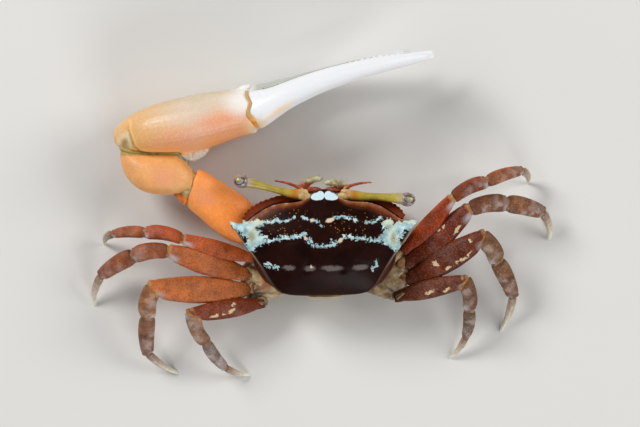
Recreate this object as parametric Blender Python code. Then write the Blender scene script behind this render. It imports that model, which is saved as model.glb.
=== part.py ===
"""A male fiddler crab of a narrow-fronted kind, life size, standing still with its great left claw folded forward.

Sizes are in millimetres and are turned to metres as each mesh is made. X runs to the crab's right, Y to its front
and Z up. Each shell plate, eye, feeler and limb joint is an object of its own, and neighbours keep a thin joint gap.
"""

import math
import random

import bmesh
import bpy
from mathutils import Vector

MM = 0.001
JOINT_GAP = 0.3
ROOT_DEPTH = 0.35

# The body has its own frame: u to the crab's right, v forward, from midway between the two corner spines.
BODY_AT = (0.0, 3.65)
BODY_TURN = math.radians(1.0)
SHELL_BREADTH = 30.0
CROWN_HEIGHT = 14.0
CROWN_V = -3.6
DOME_OVAL = (11.5, 8.2)
SEAM_HEIGHT = 6.6
STERNUM_HEIGHT = 2.0

# Half of the shell's edge seen from above, from the middle of the front, round the orbit and the corner spine, to
# the middle of the rear: (u, v, height).
SHELL_EDGE = (
    (0.0, 5.65, 10.9),
    (1.2, 5.5, 10.9),
    (1.75, 4.9, 11.2),
    (2.5, 4.15, 11.5),
    (3.8, 3.55, 11.8),
    (5.4, 3.35, 11.9),
    (7.2, 3.35, 11.9),
    (8.7, 2.9, 11.8),
    (10.2, 2.15, 11.7),
    (11.5, 1.2, 11.6),
    (12.6, 0.3, 11.5),
    (13.7, 0.05, 11.45),
    (SHELL_BREADTH / 2, 0.15, 11.5),
    (14.2, -1.5, 11.4),
    (13.0, -3.4, 11.4),
    (11.8, -4.95, 11.4),
    (10.6, -6.7, 11.3),
    (9.4, -8.6, 11.1),
    (8.4, -10.3, 10.8),
    (7.2, -11.5, 10.4),
    (4.8, -11.8, 10.3),
    (2.4, -11.85, 10.3),
    (0.0, -11.85, 10.3),
)
# The same run of points on the lower rim of the side wall: (u, v).
SHELL_RIM = (
    (0.0, 4.3),
    (1.2, 4.3),
    (2.0, 4.3),
    (3.0, 4.3),
    (4.3, 4.2),
    (5.7, 4.0),
    (7.1, 3.6),
    (8.3, 3.1),
    (9.2, 2.4),
    (9.8, 1.6),
    (10.2, 0.8),
    (10.4, 0.0),
    (10.5, -0.9),
    (10.9, -2.4),
    (11.4, -4.1),
    (11.8, -5.6),
    (11.6, -7.0),
    (10.4, -8.9),
    (9.0, -10.4),
    (7.7, -11.5),
    (4.8, -11.95),
    (2.4, -12.0),
    (0.0, -12.0),
)
# The lower edge of the orbit, which stands out in front of the upper one.
ORBIT_LIP = (
    (0.0, 4.6),
    (1.2, 4.6),
    (2.0, 4.6),
    (3.0, 4.7),
    (4.4, 4.8),
    (6.0, 4.75),
    (7.6, 4.45),
    (9.1, 4.0),
    (10.5, 3.5),
    (11.7, 2.8),
    (12.7, 2.0),
    (13.3, 0.9),
)
LIP_HEIGHT = 8.8
ORBIT_DEPTH = 1.3
LIP_GRAINS = 12
LIP_GRAINS_FROM = 4.2
LIP_GRAINS_SHORT = 1.2
LIP_GRAIN = 0.26

# Each walking leg: where it leaves its coxa, its breadths, and for each joint the length seen from above, the
# heading in degrees and the height of the far end. The toe ends on the ground.
LEGS = {
    "left_leg_1": dict(
        base=(-11.1, -2.15, 5.7),
        breadths=(2.4, 2.4, 2.05, 1.3),
        runs=((12.4, 165.2, 9.2), (6.2, 170.4, 8.2), (5.5, 183.0, 5.4), (2.4, 227.0, 0.0)),
    ),
    "left_leg_2": dict(
        base=(-12.1, -5.0, 5.3),
        breadths=(3.25, 2.8, 3.0, 1.35),
        runs=((13.9, 163.4, 9.4), (5.8, 187.3, 7.9), (6.4, 211.4, 4.2), (5.2, 255.0, 0.0)),
    ),
    "left_leg_3": dict(
        base=(-11.9, -7.4, 5.2),
        breadths=(3.95, 3.0, 2.85, 1.25),
        runs=((16.0, 179.5, 9.4), (4.5, 258.3, 7.2), (6.3, 269.0, 3.4), (5.9, 325.3, 0.0)),
    ),
    "left_leg_4": dict(
        base=(-9.5, -9.6, 5.0),
        breadths=(3.0, 2.35, 2.15, 1.1),
        runs=((12.05, 189.1, 8.6), (5.0, 294.9, 6.4), (5.3, 306.4, 2.9), (4.2, 342.6, 0.0)),
    ),
    "right_leg_1": dict(
        base=(12.6, -1.1, 5.6),
        breadths=(2.4, 2.4, 2.3, 1.2),
        runs=((12.2, 46.2, 9.9), (6.2, 25.4, 8.8), (6.2, 17.2, 5.6), (2.4, -59.0, 0.0)),
    ),
    "right_leg_2": dict(
        base=(13.2, -3.6, 5.2),
        breadths=(3.3, 2.95, 3.15, 1.35),
        runs=((14.3, 41.7, 9.0), (6.1, 8.3, 7.7), (6.3, -13.9, 4.2), (4.6, -73.6, 0.0)),
    ),
    "right_leg_3": dict(
        base=(13.4, -6.0, 5.2),
        breadths=(3.7, 3.0, 2.95, 1.3),
        runs=((14.4, 29.4, 9.2), (4.4, -56.9, 7.2), (6.6, -64.7, 3.4), (6.1, -108.7, 0.0)),
    ),
    "right_leg_4": dict(
        base=(11.5, -8.9, 5.0),
        breadths=(2.8, 2.45, 2.15, 1.1),
        runs=((11.9, 14.0, 8.4), (4.6, -80.0, 6.2), (4.7, -95.7, 2.8), (4.5, -125.5, 0.0)),
    ),
}
LEG_JOINTS = ("merus", "carpus", "propodus", "dactyl")
# Height of each leg joint as a share of its breadth.
LEG_FLATNESS = (0.62, 0.78, 0.78, 0.85)
# Along each leg joint: (share of its length, share of its breadth).
LEG_PROFILES = (
    (
        (0.0, 0.48),
        (0.1, 0.54),
        (0.13, 0.5),
        (0.22, 0.74),
        (0.4, 0.96),
        (0.58, 1.0),
        (0.78, 0.94),
        (0.93, 0.86),
        (1.0, 0.76),
    ),
    ((0.0, 0.82), (0.12, 0.92), (0.35, 0.98), (0.65, 1.04), (0.88, 1.03), (1.0, 0.84)),
    ((0.0, 0.8), (0.1, 0.98), (0.35, 1.0), (0.65, 0.9), (0.9, 0.77), (1.0, 0.62)),
    ((0.0, 0.84), (0.14, 1.0), (0.4, 0.88), (0.7, 0.66), (0.9, 0.46), (1.0, 0.34)),
)
# How far each leg joint bows outwards, and how far the front edge of the upper one is turned down.
LEG_BOW = (0.0, 0.5, 0.3, 0.6)
LEG_TILT = math.radians(15.0)
LEG_SIDES = 10

# The arm of the great claw: each joint's two ends, its breadth, and how wide it is along its length.
GREAT_LIMB = {
    "ischium": ((-10.1, 1.8, 4.1), (-12.4, 3.3, 4.9), 3.4, ((0.0, 0.92), (0.5, 1.0), (1.0, 0.95))),
    "merus": (
        (-12.4, 3.3, 4.9),
        (-21.5, 9.3, 7.4),
        6.5,
        ((0.0, 0.54), (0.08, 0.78), (0.2, 0.96), (0.45, 1.0), (0.7, 0.97), (0.88, 0.98), (0.96, 0.96), (1.0, 0.88)),
    ),
}
WRIST_FACES = (-0.954, 0.3, 0.0)

# The great claw stands on the lower edge of its palm. Stations along X, seen from above and from the front:
# (x, rear y, front y, bottom z, top z).
GREAT_PALM = (
    (-34.0, 16.9, 18.8, 5.6, 8.4),
    (-33.4, 16.0, 19.6, 4.4, 9.8),
    (-32.2, 15.4, 20.8, 2.9, 11.6),
    (-30.4, 15.05, 21.9, 1.5, 13.0),
    (-28.0, 14.85, 23.0, 0.6, 14.1),
    (-25.0, 14.9, 23.8, 0.0, 14.8),
    (-22.0, 15.3, 24.5, -0.15, 15.1),
    (-19.0, 15.9, 25.0, -0.15, 15.2),
    (-16.0, 16.8, 25.3, 0.0, 15.1),
    (-13.6, 17.7, 25.5, 0.4, 14.9),
    (-12.0, 18.3, 25.7, 0.9, 14.5),
)
GREAT_POLLEX = (
    (-15.0, 18.4, 25.4, 0.7, 7.2),
    (-12.0, 18.7, 26.25, 0.95, 6.9),
    (-10.0, 19.6, 26.7, 1.15, 6.6),
    (-8.0, 21.1, 27.15, 1.35, 6.35),
    (-5.0, 23.3, 27.85, 1.6, 6.3),
    (-1.8, 25.0, 28.7, 1.9, 6.4),
    (2.5, 26.6, 29.8, 2.6, 6.7),
    (7.5, 28.3, 30.8, 3.9, 7.1),
    (11.2, 29.7, 31.6, 5.4, 7.4),
    (13.3, 30.5, 31.8, 6.3, 7.6),
)
GREAT_DACTYL = (
    (-11.55, 19.2, 25.1, 7.2, 13.9),
    (-10.6, 18.7, 25.3, 6.9, 14.6),
    (-8.7, 19.7, 25.6, 7.5, 14.9),
    (-6.0, 21.9, 26.7, 8.7, 14.9),
    (-2.0, 24.0, 28.1, 9.4, 14.6),
    (2.5, 25.9, 29.4, 9.5, 13.9),
    (7.5, 27.5, 30.4, 9.1, 12.9),
    (12.0, 28.8, 31.1, 8.3, 11.6),
    (15.4, 29.7, 31.5, 7.5, 10.2),
    (17.4, 30.4, 31.4, 6.9, 8.9),
    (18.0, 30.7, 31.2, 6.8, 8.0),
)
GREAT_CARPUS = (
    (-21.9, 10.3, 12.2, 6.0, 9.2),
    (-22.4, 9.4, 12.8, 5.2, 10.0),
    (-23.2, 8.7, 13.7, 4.5, 10.7),
    (-24.2, 8.25, 14.5, 3.9, 11.1),
    (-26.0, 8.2, 14.6, 3.6, 11.3),
    (-28.0, 8.3, 14.5, 3.5, 11.3),
    (-29.7, 8.8, 14.6, 3.7, 11.0),
    (-31.2, 9.8, 14.8, 4.2, 10.4),
    (-32.3, 11.2, 15.0, 4.9, 9.6),
    (-33.0, 12.6, 15.2, 5.7, 8.8),
    (-33.2, 13.6, 15.0, 6.2, 8.2),
)
HINGE_LEAN = -0.25
GREAT_SIDES = 16
BITE_TEETH = 13
BITE_TOOTH = 0.36
# The large teeth of each finger: (x, size).
DACTYL_BIG_TEETH = ((2.8, 0.75), (-5.6, 0.6))
POLLEX_BIG_TEETH = ((9.4, 0.65), (-3.4, 0.6))
# Where each finger's row of small teeth runs along X, and the seed of their sizes.
DACTYL_BITE = (-8.0, 15.0, 5)
POLLEX_BITE = (-9.0, 12.0, 11)
# The knuckle of the palm at the front of the hinge: (centre, radius) of its bumps.
HINGE_KNUCKLE = (((-13.4, 25.55, 9.2), 0.62), ((-12.62, 25.85, 9.0), 0.5))
# The crest of blunt lobes on the rear of the palm: from x to x, how far it stands out, how its height falls, and
# (share of the way out, number of lobes, radius) of its two rows.
PALM_CREST = (-23.2, -19.2)
PALM_CREST_RISE = 1.75
PALM_CREST_HEIGHT = 8.6
PALM_CREST_FALL = 1.8
PALM_CREST_ROWS = ((0.4, 5, 0.8), (1.0, 9, 0.42))
# The row of grains on the carpus: from x to x, and how far over the middle of its height it starts and ends.
CARPUS_GRAINS = 8
CARPUS_GRAIN = 0.33
CARPUS_CREST = (-24.0, -22.2)
CARPUS_CREST_RISE = (1.4, 0.8)

# The eyestalks: points from root to tip and radii there.
LEFT_STALK = (
    ((-2.75, 8.3, 10.35), 0.85),
    ((-4.0, 8.28, 10.4), 0.95),
    ((-5.2, 8.3, 10.45), 0.8),
    ((-6.8, 8.75, 10.6), 0.58),
    ((-8.9, 9.3, 10.9), 0.5),
    ((-11.0, 9.95, 11.4), 0.72),
    ((-12.1, 10.15, 11.6), 0.9),
)
RIGHT_STALK = (
    ((2.95, 8.35, 10.2), 0.8),
    ((4.2, 8.2, 10.25), 0.92),
    ((5.4, 8.0, 10.3), 0.84),
    ((7.2, 7.88, 10.4), 0.66),
    ((8.9, 7.9, 10.45), 0.56),
    ((10.7, 7.78, 10.5), 0.68),
    ((12.3, 7.6, 10.55), 0.9),
)
EYE_RADIUS = 1.2
EYE_LENGTH = 1.35
# How far round from its far end each eye is shaped, before the flat that faces its stalk.
EYE_WRAP = math.radians(138.0)
EYE_STEPS = 8
EYE_SIDES = 14

# The small right claw, folded under the front of the body: (joint, start, end, breadths of its ends).
SMALL_LIMB = (
    ("ischium", (8.4, 0.7, 3.4), (9.5, 2.0, 3.4), (1.5, 1.6)),
    ("merus", (9.5, 2.0, 3.4), (11.5, 5.2, 4.2), (1.7, 2.2)),
    ("carpus", (11.5, 5.2, 4.2), (10.2, 6.7, 2.8), (2.0, 2.0)),
    ("palm", (10.2, 6.7, 2.8), (6.6, 7.2, 1.9), (1.7, 2.2)),
    ("dactyl", (6.6, 7.2, 1.9), (3.0, 7.75, 1.6), (1.0, 1.1)),
)

# How wide its movable finger is along its length, how far that stands over the fixed one, and the fixed finger, as
# (share of the way from the palm's end to the tip, drop, radius).
SMALL_DACTYL_PROFILE = ((0.0, 0.9), (0.2, 1.0), (0.6, 0.85), (0.9, 0.95), (1.0, 0.55))
SMALL_BITE = 0.62
SMALL_POLLEX = ((-0.36, 0.45, 0.55), (0.06, 0.62, 0.5), (0.6, 0.72, 0.42), (1.0, 0.62, 0.3))
SMALL_POLLEX_LEAN = 0.1

# The right side's feeler, in the body's frame: (u, v, height, radius). The left one's tip reaches further forward.
FEELER_RUN = (
    (3.4, 5.4, 8.75, 0.45),
    (4.1, 5.9, 8.85, 0.3),
    (5.2, 6.2, 9.0, 0.24),
    (6.6, 6.45, 9.2, 0.18),
    (8.0, 6.45, 9.5, 0.1),
)
LEFT_FEELER_REACH = 0.55

# The right jaw-foot's plate, in the body's frame: (height, outer u, front v, back v), and its inner edge.
JAW_PLATE = (
    (3.3, 2.2, 5.3, 4.95),
    (3.6, 2.7, 5.5, 4.75),
    (5.0, 3.4, 5.75, 4.7),
    (6.8, 4.2, 5.9, 4.75),
    (7.7, 4.3, 5.85, 4.95),
    (8.0, 3.9, 5.7, 5.2),
)
JAW_INNER = 0.2
# Its palp: (u, share of the way out to the palp's reach, height, radius), and each side's reach.
JAW_PALP = (
    (3.9, -0.5, 7.2, 0.5),
    (3.5, 0.0, 7.6, 0.7),
    (2.6, 0.55, 8.0, 0.7),
    (1.6, 1.0, 8.2, 0.58),
    (0.8, 1.02, 8.1, 0.5),
    (0.28, 0.95, 7.9, 0.28),
)
PALP_ROOT_V = 5.9
PALP_REACH = {"left": 7.15, "right": 6.5}

# The tail, from its hinge at the rear to its tip, in the body's frame: ((v, height), half breadth, half thickness).
TAIL_RUN = (
    ((-12.0, 5.8), 2.8, 0.3),
    ((-12.15, 4.5), 3.1, 0.38),
    ((-11.95, 3.0), 3.0, 0.4),
    ((-11.0, 1.7), 2.9, 0.38),
    ((-9.0, 1.25), 2.4, 0.36),
    ((-6.8, 1.2), 1.9, 0.36),
    ((-5.0, 1.2), 1.5, 0.36),
    ((-3.6, 1.25), 0.9, 0.3),
)

# The breast, from below upwards: (height over the sternum, breadth, front reach, rear reach) as shares of the rim.
BREAST_LEVELS = (
    (0.0, 0.32, 0.3, 0.62),
    (0.5, 0.52, 0.42, 0.8),
    (1.4, 0.66, 0.6, 0.9),
    (2.6, 0.78, 0.84, 0.92),
    (SEAM_HEIGHT - JOINT_GAP - STERNUM_HEIGHT, 0.87, 0.94, 0.92),
)
# Where the coxae of the walking legs leave the breast, as shares of the base's place, and their size.
COXA_ROOT = (0.52, 0.62, 4.0)
COXA_RADIUS = 1.3
COXA_RIM = 0.3
COXA_LENGTH = 1.7
BASIS_LENGTH = 2.6
# The coxae of the two arms: where they leave the breast, and their radius.
GREAT_COXA = ((-4.0, 0.6, 3.8), 1.75)
SMALL_COXA = ((3.5, -2.5, 3.7), 0.8)

COLOURS = {
    "carapace": (0.030, 0.012, 0.010, 0.30),
    "thorax": (0.48, 0.36, 0.20, 0.50),
    "abdomen": (0.55, 0.45, 0.32, 0.45),
    "stalk": (0.42, 0.33, 0.05, 0.35),
    "eye": (0.30, 0.26, 0.22, 0.15),
    "feeler": (0.45, 0.10, 0.04, 0.45),
    "mouth": (0.55, 0.16, 0.06, 0.45),
    "great_limb": (0.85, 0.30, 0.08, 0.40),
    "great_palm": (0.88, 0.52, 0.34, 0.38),
    "great_finger": (0.90, 0.88, 0.86, 0.32),
    "small_limb": (0.70, 0.25, 0.10, 0.42),
    "left_leg": (0.32, 0.11, 0.05, 0.45),
    "right_leg": (0.16, 0.05, 0.025, 0.45),
    "toe": (0.50, 0.42, 0.30, 0.45),
}


def finish(name):
    """The Principled material of this name, made once."""
    if name in bpy.data.materials:
        return bpy.data.materials[name]
    red, green, blue, roughness = COLOURS[name]
    material = bpy.data.materials.new(name)
    material.use_nodes = True
    shader = material.node_tree.nodes["Principled BSDF"]
    shader.inputs["Base Color"].default_value = (red, green, blue, 1.0)
    shader.inputs["Roughness"].default_value = roughness
    shader.inputs["Metallic"].default_value = 0.0
    material.diffuse_color = (red, green, blue, 1.0)
    return material


def put_in_scene(name, mesh, colour):
    """An object with this mesh, smooth-shaded apart from its sharp edges."""
    piece = bpy.data.objects.new(name, mesh)
    bpy.context.scene.collection.objects.link(piece)
    mesh.materials.clear()
    mesh.materials.append(finish(colour))
    mesh.shade_smooth()
    mesh.set_sharp_from_angle(angle=math.radians(40))
    return piece


def skin_rings(name, rings):
    """A closed mesh over rings of points in order. A ring of one point is a pole, and other ends get a flat cap."""
    work = bmesh.new()
    loops = [[work.verts.new(Vector(point) * MM) for point in ring] for ring in rings]
    for low, high in zip(loops, loops[1:]):
        count = max(len(low), len(high))
        for i in range(count):
            j = (i + 1) % count
            corners = [low[i % len(low)], low[j % len(low)], high[j % len(high)], high[i % len(high)]]
            work.faces.new(list(dict.fromkeys(corners)))
    for cap in (loops[0], loops[-1]):
        if len(cap) > 1:
            work.faces.new(cap)
    bmesh.ops.recalc_face_normals(work, faces=work.faces)
    mesh = bpy.data.meshes.new(name)
    work.to_mesh(mesh)
    work.free()
    return mesh


def rounded(angle, power):
    """Cosine and sine of the angle, pressed out towards a square as the power rises above 2."""
    share = 2.0 / power
    c, s = math.cos(angle), math.sin(angle)
    return math.copysign(abs(c) ** share, c), math.copysign(abs(s) ** share, s)


def solid_ball(centre, radius, squash=1.0, rings=5, sides=7):
    """Rings of a small closed ball, for a grain or a tooth."""
    x, y, z = centre
    found = [[(x, y, z - radius * squash)]]
    for step in range(1, rings):
        tilt = math.pi * step / rings
        around = radius * math.sin(tilt)
        level = z - radius * squash * math.cos(tilt)
        found.append(
            [
                (x + around * math.cos(math.tau * i / sides), y + around * math.sin(math.tau * i / sides), level)
                for i in range(sides)
            ]
        )
    found.append([(x, y, z + radius * squash)])
    return found


def keep_largest(mesh):
    """Drops all but the largest closed surface of a mesh."""
    work = bmesh.new()
    work.from_mesh(mesh)
    left, parts = set(work.verts), []
    while left:
        part, edge = set(), [left.pop()]
        while edge:
            vert = edge.pop()
            part.add(vert)
            near = {e.other_vert(vert) for e in vert.link_edges} & left
            left -= near
            edge.extend(near)
        parts.append(part)
    largest = max(parts, key=len)
    bmesh.ops.delete(work, geom=[v for v in work.verts if v not in largest], context="VERTS")
    work.to_mesh(mesh)
    work.free()


def fuse(piece, grown):
    """Joins the closed meshes of what grows from a piece to it, as one surface."""
    holder = bpy.data.collections.new(piece.name + "_growths")
    bpy.context.scene.collection.children.link(holder)
    for i, mesh in enumerate(grown):
        holder.objects.link(bpy.data.objects.new(f"growth_{i}", mesh))
    union = piece.modifiers.new("union", "BOOLEAN")
    union.operation = "UNION"
    union.operand_type = "COLLECTION"
    union.collection = holder
    union.solver = "EXACT"
    bpy.context.view_layer.update()
    joined = bpy.data.meshes.new_from_object(piece.evaluated_get(bpy.context.evaluated_depsgraph_get()))
    piece.modifiers.remove(union)
    for growth in list(holder.objects):
        bpy.data.objects.remove(growth)
    bpy.data.collections.remove(holder)
    keep_largest(joined)
    colour = piece.data.materials[0].name
    joined.name = piece.name
    piece.data = joined
    joined.materials.clear()
    joined.materials.append(finish(colour))
    joined.shade_smooth()
    joined.set_sharp_from_angle(angle=math.radians(40))


def from_body(u, v, z):
    """A point of the body's frame in the crab's frame."""
    c, s = math.cos(BODY_TURN), math.sin(BODY_TURN)
    return (BODY_AT[0] + u * c - v * s, BODY_AT[1] + u * s + v * c, z)


def mirrored(half):
    """A half outline, front middle to rear middle on the right, carried round the left side to a full ring."""
    left = [(-u, v, z) for u, v, z in reversed(half[1:-1])]
    return [from_body(*point) for point in list(half) + left]


def blend(first, second, share):
    return tuple(a + (b - a) * share for a, b in zip(first, second))


def shell_ring(wall_share, height, lip_share, inset=0.0):
    """One ring of the side wall. wall_share runs from the lower rim to the shell's edge, and lip_share draws the
    front of the ring out to the lower edge of the orbit."""
    half = []
    for i, (u, v, edge_z) in enumerate(SHELL_EDGE):
        rim = (*SHELL_RIM[i], SEAM_HEIGHT)
        point = blend(rim, (u, v, edge_z), wall_share)
        level = SEAM_HEIGHT + (edge_z - SEAM_HEIGHT) * height
        if i < len(ORBIT_LIP):
            front = (*ORBIT_LIP[i], level)
            point = blend(point, front, lip_share)
        slope = math.hypot(point[0], point[1] - CROWN_V)
        pull = 1.0 - inset / slope if i < len(ORBIT_LIP) else 1.0
        half.append((point[0] * pull, CROWN_V + (point[1] - CROWN_V) * pull, level))
    return mirrored(half)


def dome_ring(reach, rise):
    """One ring of the back, at this share of the way out from the crown to the edge. It turns from the shape of
    the edge to a plain oval on its way in, so that no crease runs in from the corner spines."""
    half = []
    for u, v, edge_z in SHELL_EDGE:
        away = math.hypot(u, v - CROWN_V)
        c, s = u / away, (v - CROWN_V) / away
        oval = 1.0 / math.hypot(c / DOME_OVAL[0], s / DOME_OVAL[1])
        out = reach * (away * reach + oval * (1.0 - reach))
        height = edge_z + (CROWN_HEIGHT - edge_z) * rise
        half.append((c * out, CROWN_V + s * out, height))
    return mirrored(half)


def make_carapace():
    rings = [
        shell_ring(0.0, 0.0, 0.0),
        shell_ring(0.03, 0.1, 0.25),
        shell_ring(0.25, 0.28, 0.9),
        shell_ring(0.4, 0.43, 1.0),
        shell_ring(0.68, 0.53, 0.3, inset=ORBIT_DEPTH),
        shell_ring(0.88, 0.8, 0.0, inset=ORBIT_DEPTH),
        shell_ring(1.0, 0.93, 0.0),
    ]
    for reach in (1.0, 0.93, 0.8, 0.62, 0.42, 0.2):
        rings.append(dome_ring(reach, 1.0 - reach**2.4))
    rings.append([from_body(0.0, CROWN_V, CROWN_HEIGHT)])
    shell = put_in_scene("carapace", skin_rings("carapace", rings), "carapace")
    grains = []
    for side in (-1, 1):
        for i in range(LIP_GRAINS):
            last = len(ORBIT_LIP) - LIP_GRAINS_SHORT
            along = LIP_GRAINS_FROM + (last - LIP_GRAINS_FROM) * i / (LIP_GRAINS - 1)
            low = int(along)
            u, v = blend(ORBIT_LIP[low], ORBIT_LIP[min(low + 1, len(ORBIT_LIP) - 1)], along - low)
            centre = from_body(side * u, v - 0.05, LIP_HEIGHT)
            grains.append(skin_rings("grain", solid_ball(centre, LIP_GRAIN, rings=4, sides=6)))
    fuse(shell, grains)


def thorax_ring(height, breadth, front, rear):
    half = []
    for u, v in SHELL_RIM:
        reach = front if v > CROWN_V else rear
        half.append((u * breadth, CROWN_V + (v - CROWN_V) * reach, height))
    return mirrored(half)


def stub(start, end, start_radius, end_radius, meets, flat=0.9, sides=10):
    """Rings of a short round piece whose far end is square to the run that it meets, half a joint gap short of it."""
    meets = Vector(meets).normalized()
    end = Vector(end) - meets * JOINT_GAP / 2
    along = (end - Vector(start)).normalized()
    across = along.cross(Vector((0, 0, 1))).normalized()
    up = across.cross(along)
    rings = []
    for share, radius in ((0.0, start_radius), (0.7, end_radius * 1.08), (1.0, end_radius)):
        centre = Vector(start).lerp(Vector(end), share)
        ring = []
        for i in range(sides):
            c, s = rounded(math.tau * (i + 0.5) / sides, 2.2)
            offset = across * c * radius + up * s * radius * flat
            ring.append(tuple(centre + offset - along * share**2 * offset.dot(meets) / along.dot(meets)))
        rings.append(ring)
    return rings


def make_thorax():
    rings = [thorax_ring(STERNUM_HEIGHT + rise, *shares) for rise, *shares in BREAST_LEVELS]
    trunk = put_in_scene("thorax", skin_rings("thorax", rings), "thorax")
    coxae = []
    for leg in LEGS.values():
        base, knee = leg_points(leg)[:2]
        outward = (knee - base).normalized()
        across, back, height = COXA_ROOT
        inner = Vector(from_body(across * base.x, back * (base.y - BODY_AT[1] - CROWN_V) + CROWN_V, height))
        radius = LEG_PROFILES[0][0][1] * leg["breadths"][0] / 2 + COXA_RIM
        knuckle = base - outward * COXA_LENGTH
        coxae.append(skin_rings("coxa", stub(inner, knuckle, COXA_RADIUS, radius * 1.15, knuckle - inner)))
        basis_start = base - outward * BASIS_LENGTH
        coxae.append(skin_rings("basis", stub(basis_start, base, radius * 0.85, radius * 0.86, outward)))
    great, small = GREAT_LIMB["ischium"][:2], SMALL_LIMB[0][1:3]
    for (inner, radius), (start, end) in ((GREAT_COXA, great), (SMALL_COXA, small)):
        run = Vector(end) - Vector(start)
        coxae.append(skin_rings("coxa", stub(inner, start, radius * 1.1, radius, run)))
    fuse(trunk, coxae)


def make_abdomen():
    """The narrow male tail, folded forward under the breast."""
    rings = []
    for i, ((v, z), half_breadth, half_thick) in enumerate(TAIL_RUN):
        before, after = TAIL_RUN[max(i - 1, 0)][0], TAIL_RUN[min(i + 1, len(TAIL_RUN) - 1)][0]
        along = Vector((0, after[0] - before[0], after[1] - before[1])).normalized()
        out = along.cross(Vector((1, 0, 0)))
        ring = []
        for k in range(12):
            c, s = rounded(math.tau * (k + 0.5) / 12, 3.0)
            offset = out * s * half_thick
            ring.append(from_body(c * half_breadth, v + offset.y, z + offset.z))
        rings.append(ring)
    put_in_scene("abdomen", skin_rings("abdomen", rings), "abdomen")


def tube_rings(path, sides=10, flat=1.0, power=2.0):
    """Rings square to a run of (point, radius)."""
    rings = []
    for i, (point, radius) in enumerate(path):
        before, after = Vector(path[max(i - 1, 0)][0]), Vector(path[min(i + 1, len(path) - 1)][0])
        along = (after - before).normalized()
        across = along.cross(Vector((0, 0, 1))).normalized()
        up = across.cross(along)
        ring = []
        for k in range(sides):
            c, s = rounded(math.tau * k / sides, power)
            ring.append(tuple(Vector(point) + across * c * radius + up * s * radius * flat))
        rings.append(ring)
    return rings


def make_eyes():
    for side, path in (("left", LEFT_STALK), ("right", RIGHT_STALK)):
        name = side + "_eyestalk"
        put_in_scene(name, skin_rings(name, tube_rings(path, sides=12)), "stalk")
        tip, before = Vector(path[-1][0]), Vector(path[-2][0])
        along = (tip - before).normalized()
        across = along.cross(Vector((0, 0, 1))).normalized()
        up = across.cross(along)
        start = tip + along * JOINT_GAP
        rings = []
        for step in range(EYE_STEPS):
            tilt = EYE_WRAP * (1 - step / EYE_STEPS)
            radius = EYE_RADIUS * math.sin(tilt)
            centre = start + along * EYE_LENGTH * (math.cos(tilt) - math.cos(EYE_WRAP))
            ring = []
            for k in range(EYE_SIDES):
                angle = math.tau * k / EYE_SIDES
                ring.append(tuple(centre + (across * math.cos(angle) + up * math.sin(angle)) * radius))
            rings.append(ring)
        rings.append([tuple(start + along * EYE_LENGTH * (1.0 - math.cos(EYE_WRAP)))])
        put_in_scene(side + "_eye", skin_rings(side + "_eye", rings), "eye")


def make_feelers():
    for side, sign, reach in (("left", -1, LEFT_FEELER_REACH), ("right", 1, 0.0)):
        path = []
        for i, (u, v, z, radius) in enumerate(FEELER_RUN):
            forward = reach * max(i - 1, 0) / (len(FEELER_RUN) - 2)
            path.append((from_body(sign * u, v + forward, z), radius))
        name = side + "_antenna"
        put_in_scene(name, skin_rings(name, tube_rings(path, sides=6)), "feeler")


def make_mouthparts():
    """The outer jaw-feet: a plate over each side of the mouth, and its palp reaching in before the front."""
    for side, sign in (("left", -1), ("right", 1)):
        name = side + "_maxilliped"
        rings = []
        for height, outer, front, back in JAW_PLATE:
            ring = []
            for k in range(12):
                c, s = rounded(math.tau * (k + 0.5) / 12, 3.2)
                u = (JAW_INNER + outer) / 2 + c * (outer - JAW_INNER) / 2
                v = (front + back) / 2 + s * (front - back) / 2
                ring.append(from_body(sign * u, v, height))
            rings.append(ring)
        piece = put_in_scene(name, skin_rings(name, rings), "mouth")
        out = PALP_REACH[side] - PALP_ROOT_V
        palp = [(from_body(sign * u, PALP_ROOT_V + share * out, z), radius) for u, share, z, radius in JAW_PALP]
        fuse(piece, [skin_rings("palp", tube_rings(palp, sides=9, flat=0.8))])


def mitre(first, second):
    """The normal of the plane that halves the bend between two runs."""
    return (first + second).normalized()


def limb_piece(
    start, end, start_normal, end_normal, profile, breadth, flatness, bow=0.0, tilt=0.0, sides=LEG_SIDES, power=2.3
):
    """Rings of one limb joint, with its ends cut parallel to the planes it meets its neighbours on. A tilt turns its
    breadth about its run, and dies away towards its far end."""
    start, end = Vector(start), Vector(end)
    run = end - start
    along = run.normalized()
    across = along.cross(Vector((0, 0, 1))).normalized()
    up = across.cross(along)
    rings = []
    for share, scale in profile:
        centre = start + run * share + across * bow * 4 * share * (1 - share)
        turn = tilt * (1 - share**3)
        wide = across * math.cos(turn) + up * math.sin(turn)
        tall = up * math.cos(turn) - across * math.sin(turn)
        ring = []
        for k in range(sides):
            c, s = rounded(math.tau * (k + 0.5) / sides, power)
            offset = (wide * c + tall * s * flatness) * breadth / 2 * scale
            near = -(offset.dot(start_normal) - JOINT_GAP / 2) / along.dot(start_normal)
            far = -(offset.dot(end_normal) + JOINT_GAP / 2) / along.dot(end_normal)
            slide = near * (1 - share) ** 2 + far * share**2
            ring.append(tuple(centre + offset + along * slide))
        rings.append(ring)
    return rings


def leg_points(leg):
    points = [Vector(leg["base"])]
    for length, heading, height in leg["runs"]:
        angle = math.radians(heading)
        last = points[-1]
        points.append(Vector((last.x + length * math.cos(angle), last.y + length * math.sin(angle), height)))
    return points


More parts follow.
